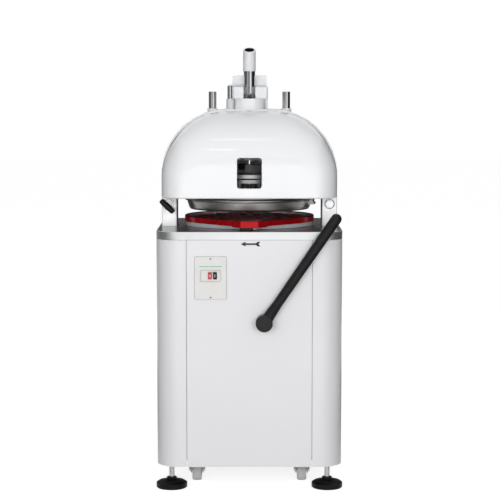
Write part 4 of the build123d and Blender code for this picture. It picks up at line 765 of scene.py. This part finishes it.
# Switch: a raised frame round the buttons, a grey rim behind the plate as painted shade along its edge, the
# usual marks on the buttons and a plain strip

BEZEL = [(3.2, 0), (2.6, 1.0), (1.2, 1.4), (0, 1.4), (-0.4, 0.9), (-0.4, -2.4), (0.6, -2.4), (3.2, -0.4)]
BEZEL_SIZE = (66, 36, 2.0)
BEZEL_RISE = 8
bezel = Form()
bezel.framed(on_switch(BEZEL_RISE), *BEZEL_SIZE, BEZEL)
piece(bezel, "switch_bezel", "base", [GREY_BEZEL])

# A grey rim behind the switch plate, standing as painted shade along the plate's edge.
SHADE_FRAME = [(-2.0, 0), (0.9, 0), (0.9, 1.0), (0.5, 1.5), (-2.0, 1.5)]
SHADE_FRAME_SIZE = (108, 145, 5.0)
shade_frame = Form()
shade_frame.framed(facing(TO_FRONT, (SWITCH_PLACE[0], FRONT, SWITCH_PLACE[1])), *SHADE_FRAME_SIZE, SHADE_FRAME)
piece(shade_frame, "switch_shade_frame", "base", [GREY_PLASTIC])

MARK_H = 0.3
BAR = [(-0.8, -5), (0.8, -5), (0.8, 5), (-0.8, 5)]
bar = Form()
bar_at = middle_of("start_button")
bar_at.y = millimetres(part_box("start_button")[0]).y
bar.drawn(facing(TO_FRONT, bar_at), BAR, MARK_H)
piece(bar, "start_mark", "start", [MARK_INK])
RING = [(2.6, 0), (3.9, 0), (3.9, MARK_H), (2.6, MARK_H)]
RING_SIDES = 40
ring = Form()
ring_at = middle_of("stop_button")
ring_at.y = millimetres(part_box("stop_button")[0]).y
ring.turned(facing(TO_FRONT, ring_at), RING, RING_SIDES, closed=True)
piece(ring, "stop_mark", "stop", [MARK_INK])

STRIP = [(-37, -1.1), (37, -1.1), (37, 1.1), (-37, 1.1)]
STRIP_RISE = 39.0
STRIP_H = 0.2
strip = Form()
strip.drawn(on_switch(STRIP_RISE), STRIP, STRIP_H)
piece(strip, "switch_label", "base", [LABEL_GREEN])


# Right column: washer under the bolt's head; its grey ring also stands as a painted shade outline round the
# white hex head

WASHER = [(11, 0), (17.3, 0), (18.3, 0.5), (18.3, 1.3), (17.6, 1.8), (11, 1.8)]
BOLT_PLACE = (COLUMN_X, -60.0, 963.5)
washer = Form()
washer.turned(facing(TO_FRONT, BOLT_PLACE), WASHER, closed=True)
piece(washer, "bolt_washer", "base", [GROUND])


# Rounding lever: flared foot of the grip

GRIP_LEAN = radians(34.4)
GRIP_AXIS = (sin(GRIP_LEAN), 0, cos(GRIP_LEAN))
GRIP_OUT = 26.0
GRIP_FLARE = [(12, 18), (19.6, 18), (19.3, 27), (18.3, 42), (17.2, 58), (16.5, 74), (12, 78)]
shaft_at = middle_of("rounding_shaft")
flare = Form()
flare.turned(facing(GRIP_AXIS, (shaft_at.x, FRONT - GRIP_OUT, shaft_at.z)), GRIP_FLARE, closed=True)
piece(flare, "grip_foot", "rounding_lever", [GRIP])


# Front: direction mark and window edge

ARROW_Z = 845.0
ARROW_H = 0.25
ARROW = [(-29, 0), (-13, 8), (-13, 3), (22, 3), (28, 8), (37, 8), (31, 0), (37, -8), (28, -8), (22, -3),
         (-13, -3), (-13, -8)]
sign = Form()
sign.drawn(facing(TO_FRONT, (0, FRONT, ARROW_Z)), ARROW, ARROW_H)
piece(sign, "direction_arrow", "base", [ARROW_INK])

WINDOW = (86.0, 106.0, 10.0)
WINDOW_RISE = 87.0
COVER_LOW = millimetres(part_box("front_cover")[0])
EDGE = [(1.8, 0), (1.5, 0.9), (0.6, 1.2), (-0.6, 1.0), (-1.2, 0.2), (-1.3, -1.25), (-1.2, -2.8), (-0.6, -3.5),
        (0.6, -3.7), (1.5, -3.4), (1.8, -2.5)]
DOME_R = 180.0
DOME_RISE = 114.0


def dome_sag(up):
    """How far the cover's face leans back at a height above the window's middle."""
    over = max(0.0, up + WINDOW_RISE - DOME_RISE)
    return DOME_R - sqrt(DOME_R ** 2 - over ** 2)


edge = Form()
edge.framed(facing(TO_FRONT, (0, COVER_LOW.y, COVER_LOW.z + WINDOW_RISE)), *WINDOW, EDGE, sag=dome_sag)
piece(edge, "window_edge", "base", [HEAD_WHITE])


# Casters and wheels

HUB_SIDE = [(5, -16.5), (9.5, -16.5), (10.5, -15.5), (11, -9.5), (24.5, -8.5), (26.5, -13.5), (29.5, -14.5)]
HUB_OTHER = [(radius, -height) for radius, height in HUB_SIDE[::-1]]
TREAD = [(29.5, -14.5), (31.5, -16.1), (34.5, -15.7), (36.6, -13), (37.6, -7.5), (38, 0), (37.6, 7.5),
         (36.6, 13), (34.5, 15.7), (31.5, 16.1), (29.5, 14.5)]
WHEEL_SIDES = 60
WHEEL_X = 183.0
AXLE_Z = 38.0
FRONT_AXLE_Y = -158.0
REAR_AXLE_Y = 183.0
FORK_OUT = 22.0


def add_wheel(form, x, y):
    place = facing(RIGHT, (x, y, AXLE_Z))
    form.finish = 0
    form.turned(place, HUB_SIDE, WHEEL_SIDES)
    form.turned(place, HUB_OTHER + HUB_SIDE[:1], WHEEL_SIDES)
    form.finish = 1
    form.turned(place, TREAD, WHEEL_SIDES)


AXLE_HEX = hexagon(13)
AXLE_NUT = [(0, 0), (AXLE_HEX, 0), (AXLE_HEX, 4.2), (5.6, 5.2), (4.2, 5.2), (3.6, 6.4), (0, 6.6)]
for side, label in ((-1, "left"), (1, "right")):
    x = side * WHEEL_X
    wheel = Form()
    add_wheel(wheel, x, FRONT_AXLE_Y)
    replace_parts(piece(wheel, label + "_front_wheel", label + "_front_wheel", [WHEEL_HUB, TYRE_GREY]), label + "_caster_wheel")
    nuts = Form()
    for direction, reach in ((RIGHT, FORK_OUT), (LEFT, -FORK_OUT)):
        nuts.turned(facing(direction, (x + reach, FRONT_AXLE_Y, AXLE_Z)), AXLE_NUT, SCREW_SIDES)
    piece(nuts, label + "_axle_nuts", label + "_caster", [PLATED])

AXLE_END = WHEEL_X + FORK_OUT
AXLE_CHAMFER = 0.8
AXLE = [(0, -AXLE_END), (4.2, -AXLE_END), (5, AXLE_CHAMFER - AXLE_END), (5, AXLE_END - AXLE_CHAMFER),
        (4.2, AXLE_END), (0, AXLE_END)]
AXLE_SIDES = 32
rear = Form()
for side in (-1, 1):
    add_wheel(rear, side * WHEEL_X, REAR_AXLE_Y)
rear.finish = 2
rear.turned(facing(RIGHT, (0, REAR_AXLE_Y, AXLE_Z)), AXLE, AXLE_SIDES)
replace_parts(piece(rear, "rear_wheel_pair", "rear_axle", [WHEEL_HUB, TYRE_GREY, PLATED]),
            "rear_wheels")


# Threads on the feet's stems

THREAD_LOW = 37.5
THREAD_LENGTH = 92.0
THREAD_R = 8.3
THREAD_DEPTH = 1.0
THREAD_PITCH = 2.5
for side, label in ((-1, "left"), (1, "right")):
    thread = Form()
    thread.thread(Matrix.Translation((side * FOOT_PLACE[0], FOOT_PLACE[1], THREAD_LOW)),
                  THREAD_R, THREAD_DEPTH, THREAD_PITCH, THREAD_LENGTH)
    piece(thread, label + "_foot_thread", label + "_levelling_foot", [CHROME])


# Back: pressed hoods over the louvres and a cable gland

LOUVRE_X = 99.0
LOUVRE_LOW = 560.0
LOUVRE_PITCH = 22.0
LOUVRES = 8
HOOD_HALF = 63.0
HOOD_DEEP = 7.0
HOOD_SHEET = 1.2
HOOD_SHRINK = 0.97
HOOD_TOP = 4.5
HOOD_HIGH = 9.5
HOOD_SUNK = 0.3
HOOD_END_POWER = 6
HOOD_STEPS = 24
HOOD_ROWS = 8


def add_hood(form, x, z):
    """A pressed louvre hood, closed at the top and the ends and open below."""
    place = facing(TO_BACK, (x, BACK, z))
    sheets = []
    for shrink, deep in ((1.0, HOOD_DEEP), (HOOD_SHRINK, HOOD_DEEP - HOOD_SHEET)):
        rows = []
        for k in range(HOOD_STEPS + 1):
            along = 2 * k / HOOD_STEPS - 1
            bulge = sqrt(max(0.0, 1 - abs(along) ** HOOD_END_POWER))
            points = []
            for step in range(HOOD_ROWS + 1):
                down = step / HOOD_ROWS
                points.append((along * HOOD_HALF * shrink, (HOOD_TOP - HOOD_HIGH * down) * shrink,
                               -HOOD_SUNK + (deep + HOOD_SUNK) * bulge * sin(down * pi / 2)))
            rows.append(form.loop(place, points))
        sheets.append(rows)
    outer, inner = sheets
    for rows in sheets:
        for first, second in zip(rows, rows[1:]):
            for k in range(HOOD_ROWS):
                form.face((first[k], first[k + 1], second[k + 1], second[k]))
    for end in (0, HOOD_STEPS):
        for k in range(HOOD_ROWS):
            form.face((outer[end][k], outer[end][k + 1], inner[end][k + 1], inner[end][k]))
    for k in range(HOOD_STEPS):
        for row in (0, HOOD_ROWS):
            form.face((outer[k][row], outer[k + 1][row], inner[k + 1][row], inner[k][row]))


hoods = Form()
for row in range(LOUVRES):
    for side in (-1, 1):
        add_hood(hoods, side * LOUVRE_X, LOUVRE_LOW + row * LOUVRE_PITCH)
piece(hoods, "louvre_hoods", "base", [WHITE])

GLAND_PLACE = (-160.0, BACK, 180.0)
GLAND_SIDES = 84
GLAND_HEX = hexagon(31)
GLAND_CAP = fluted(radius=13.8, depth=1.2, count=14)
GLAND = [(6, -12), (12.5, -12), (13, -11), (13, 0), (GLAND_HEX, 0), (GLAND_HEX, 6.5), (14.4, 7.6),
         (12.6, 8.4), (12.6, 10), (GLAND_CAP, 11.5), (GLAND_CAP, 28), (12.4, 33), (10.4, 39), (8.6, 44),
         (7.4, 46), (6, 46)]
gland = Form()
gland.turned(facing(TO_BACK, GLAND_PLACE), GLAND, GLAND_SIDES, closed=True)
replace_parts(piece(gland, "gland_body", "base", [BLACK_PLASTIC]), "cable_gland")


# Roller beside the moulding plate's latch

ROLLER = [(0, 0), (2.6, 0), (3.4, 0.8), (3.4, 6), (2.8, 6.6), (2.8, 8.4), (3.4, 9), (3.4, 14.2), (2.6, 15),
          (0, 15)]
ROLLER_SIDES = 32
ROLLER_BEHIND = 5
ROLLER_BELOW = 4
LATCH_LOW, LATCH_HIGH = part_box("plate_latch")
ROLLER_PLACE = (LATCH_HIGH.x / MM, LATCH_LOW.y / MM + ROLLER_BEHIND, LATCH_HIGH.z / MM - ROLLER_BELOW)
roller = Form()
roller.turned(facing(RIGHT, ROLLER_PLACE), ROLLER, ROLLER_SIDES)
piece(roller, "latch_roller", "orbit", [CHROME])
